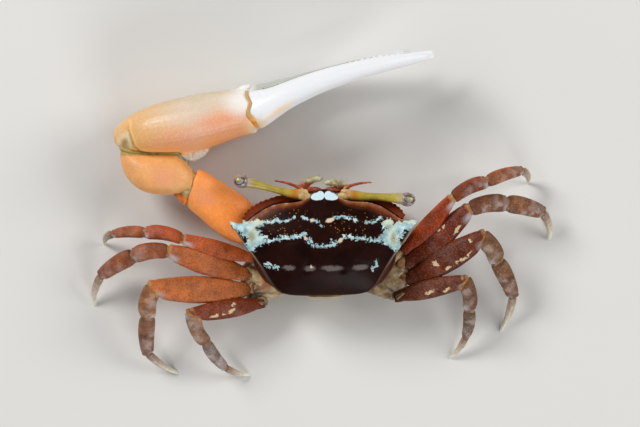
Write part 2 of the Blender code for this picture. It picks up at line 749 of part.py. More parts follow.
def make_legs():
    for name, leg in LEGS.items():
        points = leg_points(leg)
        runs = [(b - a).normalized() for a, b in zip(points, points[1:])]
        outer = 1 if runs[0].cross(runs[1]).z > 0 else -1
        for i, joint in enumerate(LEG_JOINTS):
            start_normal = runs[0] if i == 0 else mitre(runs[i - 1], runs[i])
            if i < 3:
                end_normal = mitre(runs[i], runs[i + 1])
            else:
                end_normal = Vector((0, 0, -1))
            rings = limb_piece(
                points[i],
                points[i + 1],
                start_normal,
                end_normal,
                LEG_PROFILES[i],
                leg["breadths"][i],
                LEG_FLATNESS[i],
                bow=outer * LEG_BOW[i],
                tilt=(LEG_TILT if name.startswith("right") else -LEG_TILT) if i == 0 else 0.0,
            )
            if i == 3:
                rings = [[(x, y, max(z, 0.0)) for x, y, z in ring] for ring in rings]
                rings[-1] = [(x, y, 0.0) for x, y, z in rings[-1]]
            colour = "toe" if i == 3 else name.split("_")[0] + "_leg"
            put_in_scene(f"{name}_{joint}", skin_rings(joint, rings), colour)


def blade(stations, sides=GREAT_SIDES, power=2.3, lean_from=None, lean_to=None):
    """Rings across X at each station, rounded, with the floor as the lowest level. The ends can lean with y."""
    rings = []
    last = len(stations) - 1
    for i, (x, rear, front, bottom, top) in enumerate(stations):
        lean = {0: lean_from, last: lean_to}.get(i) or 0.0
        ring = []
        for k in range(sides):
            c, s = rounded(math.tau * (k + 0.5) / sides, power)
            y = (rear + front) / 2 + c * (front - rear) / 2
            z = (bottom + top) / 2 + s * (top - bottom) / 2
            ring.append((x + lean * (y - (rear + front) / 2), y, max(z, 0.0)))
        rings.append(ring)
    return rings


def along_stations(stations, x):
    """The (rear, front, bottom, top) of a run of stations at this x."""
    ordered = sorted(stations)
    for low, high in zip(ordered, ordered[1:]):
        if low[0] <= x <= high[0]:
            return blend(low, high, (x - low[0]) / (high[0] - low[0]))[1:]
    return ordered[-1][1:]


def finger_teeth(stations, upper, bite, big):
    """Blunt teeth along a finger's biting edge, small ones in a row with a few large."""
    first, last, seed = bite
    draw = random.Random(seed)
    teeth = []
    places = []
    for i in range(BITE_TEETH):
        places.append((first + (last - first) * i / (BITE_TEETH - 1), BITE_TOOTH * draw.uniform(0.75, 1.15)))
    for x, size in places + list(big):
        rear, front, bottom, top = along_stations(stations, x)
        edge = top if upper else bottom
        inward = -ROOT_DEPTH if upper else ROOT_DEPTH
        centre = (x, (rear + front) / 2, edge + inward * 0.6)
        teeth.append(skin_rings("tooth", solid_ball(centre, size, squash=1.25, rings=4, sides=7)))
    return teeth


def make_great_claw():
    draw = random.Random(7)
    start, end, breadth, shape = GREAT_LIMB["ischium"]
    first = (Vector(end) - Vector(start)).normalized()
    knee, wrist, arm_breadth, arm_shape = GREAT_LIMB["merus"]
    second = (Vector(wrist) - Vector(knee)).normalized()
    rings = limb_piece(start, end, first, mitre(first, second), shape, breadth, 0.9, sides=12)
    put_in_scene("great_claw_ischium", skin_rings("ischium", rings), "great_limb")
    faces = Vector(WRIST_FACES).normalized()
    rings = limb_piece(knee, wrist, mitre(first, second), faces, arm_shape, arm_breadth, 0.82, sides=14, power=2.6)
    put_in_scene("great_claw_merus", skin_rings("merus", rings), "great_limb")

    carpus = put_in_scene("great_claw_carpus", skin_rings("carpus", blade(GREAT_CARPUS, power=2.8)), "great_limb")
    grains = []
    for i in range(CARPUS_GRAINS):
        share = i / (CARPUS_GRAINS - 1)
        x = CARPUS_CREST[0] + (CARPUS_CREST[1] - CARPUS_CREST[0]) * share
        rear, front, bottom, top = along_stations(GREAT_CARPUS, x)
        rise = CARPUS_CREST_RISE[0] + (CARPUS_CREST_RISE[1] - CARPUS_CREST_RISE[0]) * share
        centre = (x, front - CARPUS_GRAIN * 0.6, (bottom + top) / 2 + rise)
        grains.append(skin_rings("grain", solid_ball(centre, CARPUS_GRAIN * draw.uniform(0.85, 1.15))))
    fuse(carpus, grains)

    palm = put_in_scene(
        "great_claw_palm", skin_rings("palm", blade(GREAT_PALM, lean_to=HINGE_LEAN)), "great_palm"
    )
    grown = [skin_rings("pollex", blade(GREAT_POLLEX, sides=14))]
    grown += finger_teeth(GREAT_POLLEX, True, POLLEX_BITE, POLLEX_BIG_TEETH)
    grown += [skin_rings("knuckle", solid_ball(centre, radius)) for centre, radius in HINGE_KNUCKLE]
    for out, count, radius in PALM_CREST_ROWS:
        for i in range(count):
            share = i / (count - 1)
            x = PALM_CREST[0] + (PALM_CREST[1] - PALM_CREST[0]) * share
            proud = PALM_CREST_RISE * math.sin(math.pi * (0.15 + 0.7 * share)) * out
            y = along_stations(GREAT_PALM, x)[0] - proud + radius
            centre = (x, y, PALM_CREST_HEIGHT - PALM_CREST_FALL * share)
            grown.append(skin_rings("lobe", solid_ball(centre, radius * draw.uniform(0.9, 1.1))))
    fuse(palm, grown)

    finger = put_in_scene(
        "great_claw_dactyl", skin_rings("dactyl", blade(GREAT_DACTYL, sides=14, lean_from=HINGE_LEAN)), "great_finger"
    )
    fuse(finger, finger_teeth(GREAT_DACTYL, False, DACTYL_BITE, DACTYL_BIG_TEETH))


def make_small_claw():
    runs = [(Vector(b) - Vector(a)).normalized() for _, a, b, _ in SMALL_LIMB]
    for i, (joint, start, end, breadths) in enumerate(SMALL_LIMB):
        start_normal = runs[0] if i == 0 else mitre(runs[i - 1], runs[i])
        end_normal = runs[i] if i == len(runs) - 1 else mitre(runs[i], runs[i + 1])
        widest = max(breadths)
        near, far = breadths[0] / widest, breadths[1] / widest
        profile = ((0.0, near * 0.8), (0.2, near), (0.5, 1.0), (0.82, far), (1.0, far * 0.72))
        if joint == "dactyl":
            profile = SMALL_DACTYL_PROFILE
        rings = limb_piece(start, end, start_normal, end_normal, profile, widest, 0.82, sides=8)
        if joint == "dactyl":
            rings = [[(x, y, z + SMALL_BITE) for x, y, z in ring] for ring in rings]
        piece = put_in_scene(f"small_claw_{joint}", skin_rings(joint, rings), "small_limb")
        if joint == "palm":
            tip = Vector(SMALL_LIMB[-1][2])
            finger = []
            for share, drop, radius in SMALL_POLLEX:
                lean = SMALL_POLLEX_LEAN * min(share, 0.0) / SMALL_POLLEX[0][0]
                finger.append((Vector(end).lerp(tip, share) - Vector((0, lean, drop)), radius))
            fuse(piece, [skin_rings("finger", tube_rings(finger, sides=8))])


def centre_on_floor():
    """Moves every mesh so that the origin is under the middle of the whole, on the ground."""
    low, high = [math.inf] * 3, [-math.inf] * 3
    for piece in bpy.context.scene.objects:
        for vert in piece.data.vertices:
            for axis in range(3):
                low[axis] = min(low[axis], vert.co[axis])
                high[axis] = max(high[axis], vert.co[axis])
    shift = Vector((-(low[0] + high[0]) / 2, -(low[1] + high[1]) / 2, -low[2]))
    for piece in bpy.context.scene.objects:
        for vert in piece.data.vertices:
            vert.co += shift


for old in list(bpy.data.objects):
    bpy.data.objects.remove(old)
make_carapace()
make_thorax()
make_abdomen()
make_eyes()
make_feelers()
make_mouthparts()
make_legs()
make_great_claw()
make_small_claw()
centre_on_floor()
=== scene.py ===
"""Looks of a life-size male fiddler crab, standing still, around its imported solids.

Sizes in the tables are in millimetres, in the crab's own frame: X to its right, Y to its front, Z up from the
ground.
"""

import math

import bmesh
import bpy
import numpy as np
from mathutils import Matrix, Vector


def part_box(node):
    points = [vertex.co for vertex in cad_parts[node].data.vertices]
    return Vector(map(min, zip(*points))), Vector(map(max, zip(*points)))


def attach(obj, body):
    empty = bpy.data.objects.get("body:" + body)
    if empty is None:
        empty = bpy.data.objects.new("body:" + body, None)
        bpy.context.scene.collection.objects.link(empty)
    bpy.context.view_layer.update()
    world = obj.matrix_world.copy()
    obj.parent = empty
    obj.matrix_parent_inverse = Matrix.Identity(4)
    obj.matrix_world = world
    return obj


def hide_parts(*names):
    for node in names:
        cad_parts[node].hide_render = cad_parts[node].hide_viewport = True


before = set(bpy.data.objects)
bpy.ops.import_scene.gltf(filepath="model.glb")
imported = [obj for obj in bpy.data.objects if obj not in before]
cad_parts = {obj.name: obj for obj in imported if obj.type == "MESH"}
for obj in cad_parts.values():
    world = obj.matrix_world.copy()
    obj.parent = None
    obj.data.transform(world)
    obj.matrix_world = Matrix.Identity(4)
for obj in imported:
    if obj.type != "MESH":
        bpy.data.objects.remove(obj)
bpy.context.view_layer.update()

MM = 0.001

# Floor, light and camera
# The crab stands on a plain pale matt board under three soft boxes and a pale sky. The camera looks down at
# it from straight above, through a long lens.


def linear(colour):
    """The linear values of an sRGB hex colour."""
    parts = [int(colour[i : i + 2], 16) / 255 for i in (1, 3, 5)]
    return tuple(p / 12.92 if p <= 0.04045 else ((p + 0.055) / 1.055) ** 2.4 for p in parts) + (1.0,)


def socket_of(source):
    """Where a link from a node starts: its factor or object coordinates, or else its first output in use."""
    if isinstance(source, bpy.types.NodeSocket):
        return source
    outputs = [socket for socket in source.outputs if socket.enabled]
    return next((socket for socket in outputs if socket.name in ("Fac", "Object")), outputs[0])


def new_material(name, **shader_values):
    """A material whose shader has these values, with the functions that add its nodes and finish it."""
    material = bpy.data.materials.new(name)
    material.use_nodes = True
    tree = material.node_tree
    shader = tree.nodes["Principled BSDF"]
    for socket, value in shader_values.items():
        shader.inputs[socket.replace("_", " ")].default_value = value

    def add(kind, *sources, stops=(), **named):
        """Adds a node. Its inputs in use are given in their order, or by name with a capital letter, each
        as a value, a hex colour or a node to link from. Stops are a ramp's places and colours."""
        node = tree.nodes.new("ShaderNode" + kind)
        for setting in [word for word in named if word[0].islower()]:
            setattr(node, setting, named.pop(setting))
        sockets = [socket for socket in node.inputs if socket.enabled]
        for socket, source in (*zip(sockets, sources), *((node.inputs[word], named[word]) for word in named)):
            if isinstance(source, (bpy.types.Node, bpy.types.NodeSocket)):
                tree.links.new(socket_of(source), socket)
            else:
                socket.default_value = linear(source) if isinstance(source, str) else source
        if stops:
            ramp = node.color_ramp.elements
            for stop, (place, colour) in zip(ramp, (stops[0], stops[-1])):
                stop.position = place
                stop.color = linear(colour)
            for place, colour in stops[1:-1]:
                ramp.new(place).color = linear(colour)
        return node

    def finish(ground, *layers, height=None, strength=0.0, deep=0.0, invert=False):
        """Lays colours over a ground, each where its mask is, and adds fine relief of this strength and
        depth in mm."""
        for mask, colour in layers:
            ground = add("Mix", mask, ground, colour, data_type="RGBA")
        tree.links.new(socket_of(ground), shader.inputs["Base Color"])
        if height:
            relief = add("Bump", Height=height, Strength=strength, Distance=deep * MM, invert=invert)
            tree.links.new(socket_of(relief), shader.inputs["Normal"])

    return material, add, finish


def deselect():
    bpy.ops.object.select_all(action="DESELECT")


def activate(piece):
    deselect()
    piece.select_set(True)
    bpy.context.view_layer.objects.active = piece


deselect()
FLOOR_SIZE = 3.0
bpy.ops.mesh.primitive_plane_add(size=FLOOR_SIZE, location=(0, 0, 0))
floor = bpy.context.object
floor.name = "floor"
bpy.ops.object.transform_apply(location=True, rotation=True, scale=True)
# Matt painted board: an even pale grey with a faint cloudiness.
board, add, finish = new_material("matt_painted_board", Roughness=0.75, IOR=1.45)
board_cloud = add("TexNoise", add("TexCoord"), Scale=18.0, Detail=3.0)
finish("#D9D7D3", (board_cloud, "#DFDDD9"))
floor.data.materials.append(board)

for name, place, size, power in (
    ("key", (-0.5, 0.42, 0.5), 0.3, 4.9),
    ("fill", (0.6, 0.2, 0.42), 0.34, 2.6),
    ("low", (0.2, -0.62, 0.34), 0.4, 2.6),
):
    lamp = bpy.data.lights.new(name, "AREA")
    lamp.size = size
    lamp.energy = power
    lamp_object = bpy.data.objects.new(name, lamp)
    lamp_object.location = place
    lamp_object.rotation_euler = (-Vector(place)).to_track_quat("-Z", "Y").to_euler()
    bpy.context.scene.collection.objects.link(lamp_object)
world = bpy.data.worlds.new("pale_room")
bpy.context.scene.world = world
world.use_nodes = True
sky = world.node_tree.nodes["Background"]
sky.inputs["Color"].default_value = linear("#E8ECF0")
sky.inputs["Strength"].default_value = 0.2
bpy.context.scene.view_settings.view_transform = "Standard"

# Where the lens stands over the crab, in mm, and its length for a sensor of 36 mm.
CAMERA_PLACE = (-0.3, 0.27, 600.0)
SENSOR_WIDTH = 36.0
LENS_LENGTH = 203.7
camera = bpy.data.cameras.new("camera")
camera.sensor_width = SENSOR_WIDTH
camera.lens = LENS_LENGTH
camera.clip_start = 0.01
camera_object = bpy.data.objects.new("camera", camera)
camera_object.location = [distance * MM for distance in CAMERA_PLACE]
bpy.context.scene.collection.objects.link(camera_object)
bpy.context.scene.camera = camera_object


# Breast and leg bases
# The underside's plates, and the short coxae that the legs leave from: thin olive-cream shell with softer
# skin between. It is copied from its solid, rounded and grooved.


def new_piece(name, mesh=None):
    """A piece with this mesh, or with an empty one."""
    piece = bpy.data.objects.new(name, mesh or bpy.data.meshes.new(name))
    piece.data.name = name
    bpy.context.scene.collection.objects.link(piece)
    return piece


def edit_all(piece, **steps):
    """Runs editing steps, each with its settings, on the whole mesh of a piece."""
    activate(piece)
    bpy.ops.object.mode_set(mode="EDIT")
    bpy.ops.mesh.select_all(action="SELECT")
    for step, settings in steps.items():
        getattr(bpy.ops.mesh, step)(**settings)
    bpy.ops.object.mode_set(mode="OBJECT")


def copied(node, name):
    """A piece with its own copy of a solid's mesh, its triangles joined to faces of four where they fit."""
    piece = new_piece(name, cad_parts[node].data.copy())
    piece.data.materials.clear()
    to_quads = {"face_threshold": math.radians(25), "shape_threshold": math.radians(60)}
    edit_all(piece, remove_doubles={"threshold": 1e-6}, tris_convert_to_quads=to_quads)
    if piece.data.has_custom_normals:
        bpy.ops.mesh.customdata_custom_splitnormals_clear()
    bpy.ops.object.shade_smooth()
    return piece


def apply(piece, kind, **settings):
    """Adds a modifier with these settings and applies it."""
    activate(piece)
    modifier = piece.modifiers.new(kind.lower(), kind)
    for setting, value in settings.items():
        setattr(modifier, setting, value)
    bpy.ops.object.modifier_apply(modifier=modifier.name)


def points_of(piece):
    """(points in mm, normals) of a piece's mesh."""
    count = len(piece.data.vertices)
    points, normals = np.empty(count * 3), np.empty(count * 3)
    piece.data.vertices.foreach_get("co", points)
    piece.data.vertex_normals.foreach_get("vector", normals)
    return points.reshape(-1, 3) / MM, normals.reshape(-1, 3)


def put_points(piece, points):
    """Moves a piece's points to these places in mm, none of them under the floor."""
    points = points.copy()
    points[:, 2] = np.maximum(points[:, 2], 0.0)
    piece.data.vertices.foreach_set("co", (points * MM).ravel())
    piece.data.update()


def volume_and_area(piece):
    work = bmesh.new()
    work.from_mesh(piece.data)
    found = work.calc_volume() / MM**3, sum(face.calc_area() for face in work.faces) / MM**2
    work.free()
    return found


def rounded(piece, levels):
    """Subdivides a piece to a smooth form, and swells it back to the volume that this takes off."""
    before, _ = volume_and_area(piece)
    apply(piece, "SUBSURF", levels=levels, render_levels=levels)
    after, area = volume_and_area(piece)
    points, normals = points_of(piece)
    put_points(piece, points + normals * (before - after) / area)


def recast(piece, grain, smoothing):
    """Turns a piece of several joined forms into one even skin of small faces, and softens it."""
    apply(piece, "REMESH", mode="VOXEL", voxel_size=grain * MM, use_smooth_shade=True)
    apply(piece, "SMOOTH", factor=0.5, iterations=smoothing)


def swollen(piece, *balls):
    """Adds balls, each (x, y, z, radius) in mm, to a piece's mesh, which melt into it when it is recast."""
    work = bmesh.new()
    work.from_mesh(piece.data)
    for x, y, z, radius in balls:
        ball = bmesh.ops.create_icosphere(work, subdivisions=2, radius=radius * MM)
        bmesh.ops.translate(work, verts=ball["verts"], vec=Vector((x, y, z)) * MM)
    work.to_mesh(piece.data)
    work.free()


def roughened(piece, pattern, size, height):
    """Raises fine grains or dimples over a piece, of this size and height in mm."""
    texture = bpy.data.textures.new(piece.name + "_relief", pattern)
    texture.noise_scale = size * MM
    apply(piece, "DISPLACE", texture=texture, texture_coords="LOCAL", strength=height * MM, mid_level=0.5)


def held(values):
    """Values kept within 0 and 1."""
    return np.clip(values, 0.0, 1.0)


def hollow(distance, width, depth):
    """How far a groove of this width and depth pulls a point at this distance from its middle inwards."""
    return -depth * np.exp(-((distance / width) ** 2))


def store(piece, name, values):
    """Keeps a value, a vector or a colour for each point of a piece, for its material to read."""
    values = np.asarray(values, dtype=np.float32)
    kinds = {1: ("FLOAT", "value"), 3: ("FLOAT_VECTOR", "vector"), 4: ("FLOAT_COLOR", "color")}
    kind, field = kinds[values.size // len(values)]
    piece.data.attributes.new(name, kind, "POINT").data.foreach_set(field, values.ravel())


def dress(piece, material, slot, *nodes):
    """Gives a finished piece its material, hangs it from the root, and hides the solids that it stands for.
    """
    piece.data.materials.clear()
    piece.data.materials.append(material)
    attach(piece, "root")
    if nodes:
        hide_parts(*nodes)


breast = copied("thorax", "breast")
rounded(breast, 1)
# The last pair of leg bases, drawn in under the shell's rear edge.
points, _ = points_of(breast)
points[:, 1] += 0.62 * np.clip(-12.5 - points[:, 1], 0.0, 3.0) * held((12.5 - np.abs(points[:, 0])) / 2.0)
put_points(breast, points)
# The flesh that fills the spaces between the leg bases.
swollen(
    breast,
    (-11.4, -7.2, 4.6, 1.3), (-12.0, -9.0, 4.4, 1.3), (-12.2, -11.0, 4.2, 1.3), (-11.3, -13.4, 4.0, 1.2),
    (12.3, -6.6, 4.3, 1.2), (12.9, -8.4, 4.1, 1.2), (12.7, -10.2, 4.0, 1.2), (11.8, -12.2, 3.9, 1.2),
    (-10.4, -13.0, 4.2, 1.0), (-9.4, -12.8, 4.3, 1.0), (-9.9, -13.4, 4.1, 0.8), (-11.2, -12.6, 4.0, 1.0),
    (10.6, -12.9, 4.2, 1.0), (11.4, -13.2, 4.0, 0.8), (10.4, -12.3, 4.2, 1.2), (13.6, -6.5, 3.7, 0.9),
    (13.7, -8.9, 3.7, 0.9), (13.4, -11.3, 3.7, 0.9),
)
recast(breast, 0.16, 16)
points, normals = points_of(breast)
under = held(-normals[:, 2] * 2.0)
push = np.zeros(len(points))
# Sutures between the breast's pairs of plates, which bend back at the sides.
SUTURES = (2.0, -0.6, -3.4, -6.2)
for suture in SUTURES:
    bend = np.abs(points[:, 0]) * 0.28
    push += hollow(points[:, 1] - suture + bend, 0.28, 0.26) * under
put_points(breast, points + normals * push[:, None])
roughened(breast, "CLOUDS", 0.5, 0.04)
under *= 1.0 + push / 0.3

# Thin calcified skin over the leg bases: cream olive with orange touches and a waxy, slightly wet look. It
# is darker on the right side, with painted shade in the creases between its folds, and smoother and paler
# on the plates below.
base_skin, add, finish = new_material(
    "thin_calcified_skin", Roughness=0.42, IOR=1.5, Subsurface_Weight=0.1, Subsurface_Scale=0.0012
)
place = add("TexCoord")
cloud = add("TexNoise", place, Scale=420.0, Detail=5.0, Roughness=0.6)
tone = add("ValToRGB", cloud, stops=((0.34, "#503620"), (0.66, "#BCA67C")))
stain = add("TexNoise", place, Scale=170.0, Detail=2.0)
stain_mask = add("MapRange", stain, 0.52, 0.68, 0.0, 0.75)
tinted = add("Mix", stain_mask, tone, "#A05A2A", data_type="RGBA")
dim = add("MapRange", add("SeparateXYZ", place), -0.004, 0.008, 1.15, 1.0)
dimmed = add("VectorMath", tinted, dim, operation="SCALE")
bent = add("VectorMath", cloud.outputs["Color"], 0.0012, operation="SCALE")
bent = add("VectorMath", place, bent, operation="ADD")
folds = add("TexVoronoi", bent, Scale=430.0, feature="DISTANCE_TO_EDGE")
# Painted shade: dark brown in the creases between the folds.
crease_shade = add("MapRange", folds, 0.1, 0.0, 0.0, 0.45)
plates = add("Attribute", attribute_name="plates")
plate_mask = add("Math", plates, 0.85, operation="MULTIPLY")
plate_tone = add("Mix", cloud, "#A8906A", "#DACCA8", data_type="RGBA")
wrinkles = add("TexNoise", place, Scale=1600.0, Detail=4.0)
swell = add("MapRange", folds, 0.0, 0.3)
height = add("Math", swell, wrinkles, operation="ADD")
folded = add("MapRange", plates, 0.0, 1.0, 0.25, 0.04)
finish(dimmed, (crease_shade, "#4E2C18"), (plate_mask, plate_tone), height=height, strength=folded, deep=0.2)
store(breast, "plates", under)
dress(breast, base_skin, "breast", "thorax")


# Tail
# The narrow male tail, folded forward under the breast: seven thin cream plates, moulded in one piece here,
# with grooves across where they hinge.
tail = copied("abdomen", "tail")
rounded(tail, 2)
recast(tail, 0.14, 26)
points, normals = points_of(tail)
push = np.zeros(len(points))
# Where its plates hinge: under the breast, and where it bends up at the rear.
LOW_HINGES = (-4.0, -6.6, -9.2, -11.3, -13.2)
REAR_HINGES = (3.1, 4.2, 5.1)
for back in LOW_HINGES:
    push += hollow(points[:, 1] - back, 0.16, 0.16) * (normals[:, 1] > -0.7)
for height in REAR_HINGES:
    push += hollow(points[:, 2] - height, 0.16, 0.3) * held(-normals[:, 1] * 2.0 - 0.4)
put_points(tail, points + normals * push[:, None])
# Thin cream shell, satin, with fine pits.
tail_shell, add, finish = new_material("thin_cream_shell", Roughness=0.4, IOR=1.52)
place = add("TexCoord")
cloud = add("TexNoise", place, Scale=300.0, Detail=5.0)
tone = add("ValToRGB", cloud, stops=((0.3, "#B09068"), (0.7, "#D8C8A8")))
finish(tone, height=add("TexNoise", place, Scale=2500.0, Detail=2.0), strength=0.2, deep=0.1)
dress(tail, tail_shell, "tail", "abdomen")


# Shell
# The carapace: one thick, wet-looking plate over the body, near-black brown with pale blue-white blotches,
# its orbit margins thin and brown-red. It is copied from its solid, recast as one skin, and grooved.
SHELL_MIDDLE = (0.3, -4.8)

shell = copied("carapace", "shell")
rounded(shell, 1)
points, _ = points_of(shell)
# The sharp spine at each front corner, drawn out from the solid's to a fine point at (x, y).
SPINE_TIPS = ((-14.95, -1.05), (15.35, -0.95))
for tip in SPINE_TIPS:
    corner = points[(points[:, 0] * math.copysign(1.0, tip[0])).argmax()]
    way = np.array((*tip, corner[2])) - corner
    shares = (-0.4, 0.0, 0.3, 0.55, 0.75, 0.9)
    swollen(shell, *((*(corner + way * share), 0.5 - 0.36 * share) for share in shares))
recast(shell, 0.15, 4)
points, normals = points_of(shell)
u = points[:, 0] - SHELL_MIDDLE[0] + 0.017 * (points[:, 1] - SHELL_MIDDLE[1])
v = points[:, 1] - 1.3
above = held((normals[:, 2] - 0.35) * 3.0)
push = np.zeros(len(points))


def nearest_to(run, x, y):
    """How far each (x, y) is from a run of points."""
    nearest = np.full(len(x), np.inf)
    for (x0, y0), (x1, y1) in zip(run, run[1:]):
        share = held(((x - x0) * (x1 - x0) + (y - y0) * (y1 - y0)) / ((x1 - x0) ** 2 + (y1 - y0) ** 2))
        nearest = np.minimum(nearest, np.hypot(x - x0 - share * (x1 - x0), y - y0 - share * (y1 - y0)))
    return nearest


def groove(run, width, depth):
    """A groove along a run of (u, v) points, the same on both sides."""
    sides = ([(u1 * side, v1) for u1, v1 in run] for side in (-1, 1))
    return np.minimum(*(hollow(nearest_to(one_side, u, v), width, depth) for one_side in sides))


# The grooves round the middle of the back and behind the eyes, the forehead's furrow, and one at the rear.
push += groove(((2.6, -4.6), (3.2, -6.4), (2.2, -8.0), (3.0, -10.2)), 0.55, 0.16)
push += groove(((3.4, -4.9), (6.2, -5.8), (8.8, -5.2)), 0.6, 0.13)
push += groove(((0.0, 3.6), (0.0, 0.8)), 0.3, 0.14)
push += groove(((5.2, -9.0), (8.4, -9.8)), 0.6, 0.08)
points += normals * (push * above)[:, None]
# The wall at the rear leans in towards the tail.
low = held((10.0 - points[:, 2]) / 3.4)
points[:, 1] += 0.9 * low**1.4 * held((-points[:, 1] - 11.0) / 1.5)
put_points(shell, points)

# Pale bands across the back: (run of places, half breadth).
PALE_BANDS = (
    (((-9.18, -0.99), (-8.12, -1.13), (-7.41, -0.71), (-6.46, -1.13), (-5.48, -0.85), (-4.49, -0.29)), 0.28),
    (((-3.29, -0.29), (-2.31, -0.57)), 0.25),
    (((-1.6, -0.78), (-0.47, -1.13)), 0.3),
    (((1.92, -0.57), (3.33, -0.22), (4.25, -0.36), (5.45, -0.71)), 0.31),
    (((6.85, -1.27), (8.62, -0.99), (9.5, -0.5)), 0.27),
    (((-8.47, -4.23), (-7.24, -3.88), (-6.0, -3.67), (-5.12, -3.53), (-3.89, -3.42), (-2.73, -3.07)), 0.38),
    (((3.75, -3.35), (5.09, -3.67), (6.33, -3.81), (7.74, -3.88), (9.14, -4.13)), 0.36),
    (
        (
            (-2.59, -3.95), (-2.13, -4.58), (-1.25, -4.83), (-0.19, -5.01),
            (1.04, -4.94), (1.92, -4.83), (2.45, -4.3),
        ),
        0.32,
    ),
    (((2.45, -4.3), (3.05, -4.02)), 0.3),
    (((-1.88, -3.88), (-1.67, -4.37)), 0.24),
    (((1.57, -3.88), (1.75, -4.48)), 0.24),
    (((-0.19, -1.7), (0.23, -1.98)), 0.2),
    (((-9.07, -8.11), (-8.12, -8.25), (-7.06, -8.71)), 0.36),
    (((8.86, -7.47), (8.97, -8.18), (8.26, -8.71)), 0.33),
)
# (x, y, half length, half breadth, turn in degrees) of the blotches at the shell's corners. A sixth number
# in this kind of table is a strength under 1.
PALE_MARKS = (
    (-12.8, -1.8, 2.6, 1.1, -4),
    (-10.7, -1.4, 2.0, 0.9, 8),
    (-11.6, -2.8, 2.6, 1.6, -20),
    (-10.8, -4.3, 2.7, 1.35, 22),
    (-11.5, -5.2, 1.1, 1.1, 0),
    (13.3, -1.7, 2.8, 1.1, 6),
    (10.7, -1.5, 1.5, 1.2, 0),
    (11.6, -2.8, 2.4, 1.6, 0),
    (11.2, -4.3, 2.6, 1.3, -24),
    (12.2, -5.1, 1.1, 1.1, 0),
    (-14.1, -1.2, 1.5, 0.7, 12),
    (14.6, -1.1, 1.5, 0.7, -8),
)
# Where the corner blotches turn creamy, and where the brown ground stains them.
PALE_CORES = (
    (-10.4, -0.9, 1.9, 1.1, 10),
    (-11.2, -3.2, 1.2, 1.9, -10, 0.9),
    (-13.6, -0.9, 1.8, 0.55, -4),
    (11.2, -1.1, 1.9, 1.2, -10),
    (11.5, -3.5, 1.2, 2.0, 10, 0.9),
    (14.2, -0.85, 2.0, 0.55, 5),
)
BROWN_STAINS = (
    (-11.35, -3.5, 0.8, 1.2, 0),
    (-10.2, -2.1, 1.2, 0.6, 0),
    (10.8, -1.95, 0.8, 0.6, 0),
    (11.6, -3.7, 0.6, 1.3, 0),
)
FRONT_LOBES = (
    (-0.7, 3.05, 1.42, 0.86, 8),
    (-0.25, 3.2, 0.9, 1.0, 0),
    (-1.1, 2.92, 0.95, 0.62, 0),
    (1.5, 3.05, 1.42, 0.86, -8),
    (1.05, 3.2, 0.9, 1.0, 0),
    (1.95, 2.92, 0.95, 0.62, 0),
)
# Where yellow-orange flecks are sown, along the two bands.
FLECK_AREAS = (
    (-6.5, -0.3, 6.5, 1.5, 6),
    (7.0, -0.4, 6.5, 1.5, -6),
    (-6.5, -3.0, 5.5, 1.3, 10),
    (7.0, -3.0, 5.5, 1.3, -10),
    (2.8, -1.8, 2.2, 1.6, 0),
)
CREAM_MARKS = (
    (1.3, -0.8, 1.1, 0.5, 18),
    (-1.6, -0.85, 0.6, 0.5, -10, 0.8),
    (-2.6, -3.7, 0.6, 0.4, -30, 0.7),
    (3.0, -4.1, 0.7, 0.45, 36, 0.9),
    (-1.6, -8.4, 0.5, 0.35, 0, 0.8),
)
# A row of soft grey ovals over the rear of the back: painted reflections.
REFLECTION_MARKS = (
    (-5.4, -8.5, 1.5, 0.65, 0),
    (-1.9, -8.6, 1.4, 0.65, 2),
    (1.7, -8.6, 2.5, 0.7, 0),
    (6.3, -8.4, 1.9, 0.7, 2),
)

# Hard glossy crab shell: the near-black brown reads as wet lacquer, and the pale blotches lie in it, ragged
# at their edges and flecked with the dark ground.
dark_shell, add, finish = new_material(
    "glossy_crab_shell",
    Roughness=0.36,
    IOR=1.5,
    Specular_IOR_Level=0.06,
    Coat_Weight=0.02,
    Coat_Roughness=0.22,
)


def shaken(add, place, noise, by):
    """A place moved to and fro by a noise, so that what is drawn there has worn edges."""
    shift = add("VectorMath", noise.outputs["Color"], (0.5, 0.5, 0.5), operation="SUBTRACT")
    shift = add("VectorMath", shift, by, operation="SCALE")
    return add("VectorMath", place, shift, operation="ADD")


def blotches(add, source, marks):
    """How strongly a set of oval marks covers each place: 1 in their middles, 0 outside."""
    covered = None
    for x, y, long, broad, turn, strength in ((*mark, 1.0)[:6] for mark in marks):
        middle = (x * MM, y * MM, 0.0)
        sizes = (long * MM, broad * MM, 1.0)
        oval = add("Mapping", source, middle, (0.0, 0.0, math.radians(turn)), sizes, vector_type="TEXTURE")
        inside = add("TexGradient", oval, gradient_type="SPHERICAL")
        weighed = add("Math", inside, strength, operation="MULTIPLY")
        covered = add("Math", covered, weighed, operation="MAXIMUM") if covered else weighed
    return covered


place = add("TexCoord")
ragged = add("TexNoise", place, Scale=700.0, Detail=4.0, Roughness=0.65)
crumbled = add("TexNoise", place, Scale=2900.0, Detail=3.0, Roughness=0.7)
worn = shaken(add, shaken(add, place, ragged, 0.0008), crumbled, 0.0006)
flat_place = add("VectorMath", worn, (1.0, 1.0, 0.0), operation="MULTIPLY")
pale = blotches(add, flat_place, PALE_MARKS)
cream = blotches(add, flat_place, CREAM_MARKS)
grey = blotches(add, flat_place, REFLECTION_MARKS)
cores = blotches(add, flat_place, PALE_CORES)
stains = blotches(add, flat_place, BROWN_STAINS)
true_place = add("VectorMath", place, (1.0, 1.0, 0.0), operation="MULTIPLY")
lobes = blotches(add, true_place, FRONT_LOBES)
fleck_area = blotches(add, true_place, FLECK_AREAS)
lobe_mask = add("MapRange", lobes, 0.24, 0.3)
top_near = add("Attribute", attribute_name="top")
lobe_mask = add("Math", lobe_mask, top_near, operation="MULTIPLY")
flecks = add("TexNoise", place, Scale=2200.0, Detail=3.0, Roughness=0.7)
fleck_drop = add("MapRange", flecks, 0.38, 0.68, 0.16, -0.32)
pale_flecked = add("Math", pale, fleck_drop, operation="ADD")
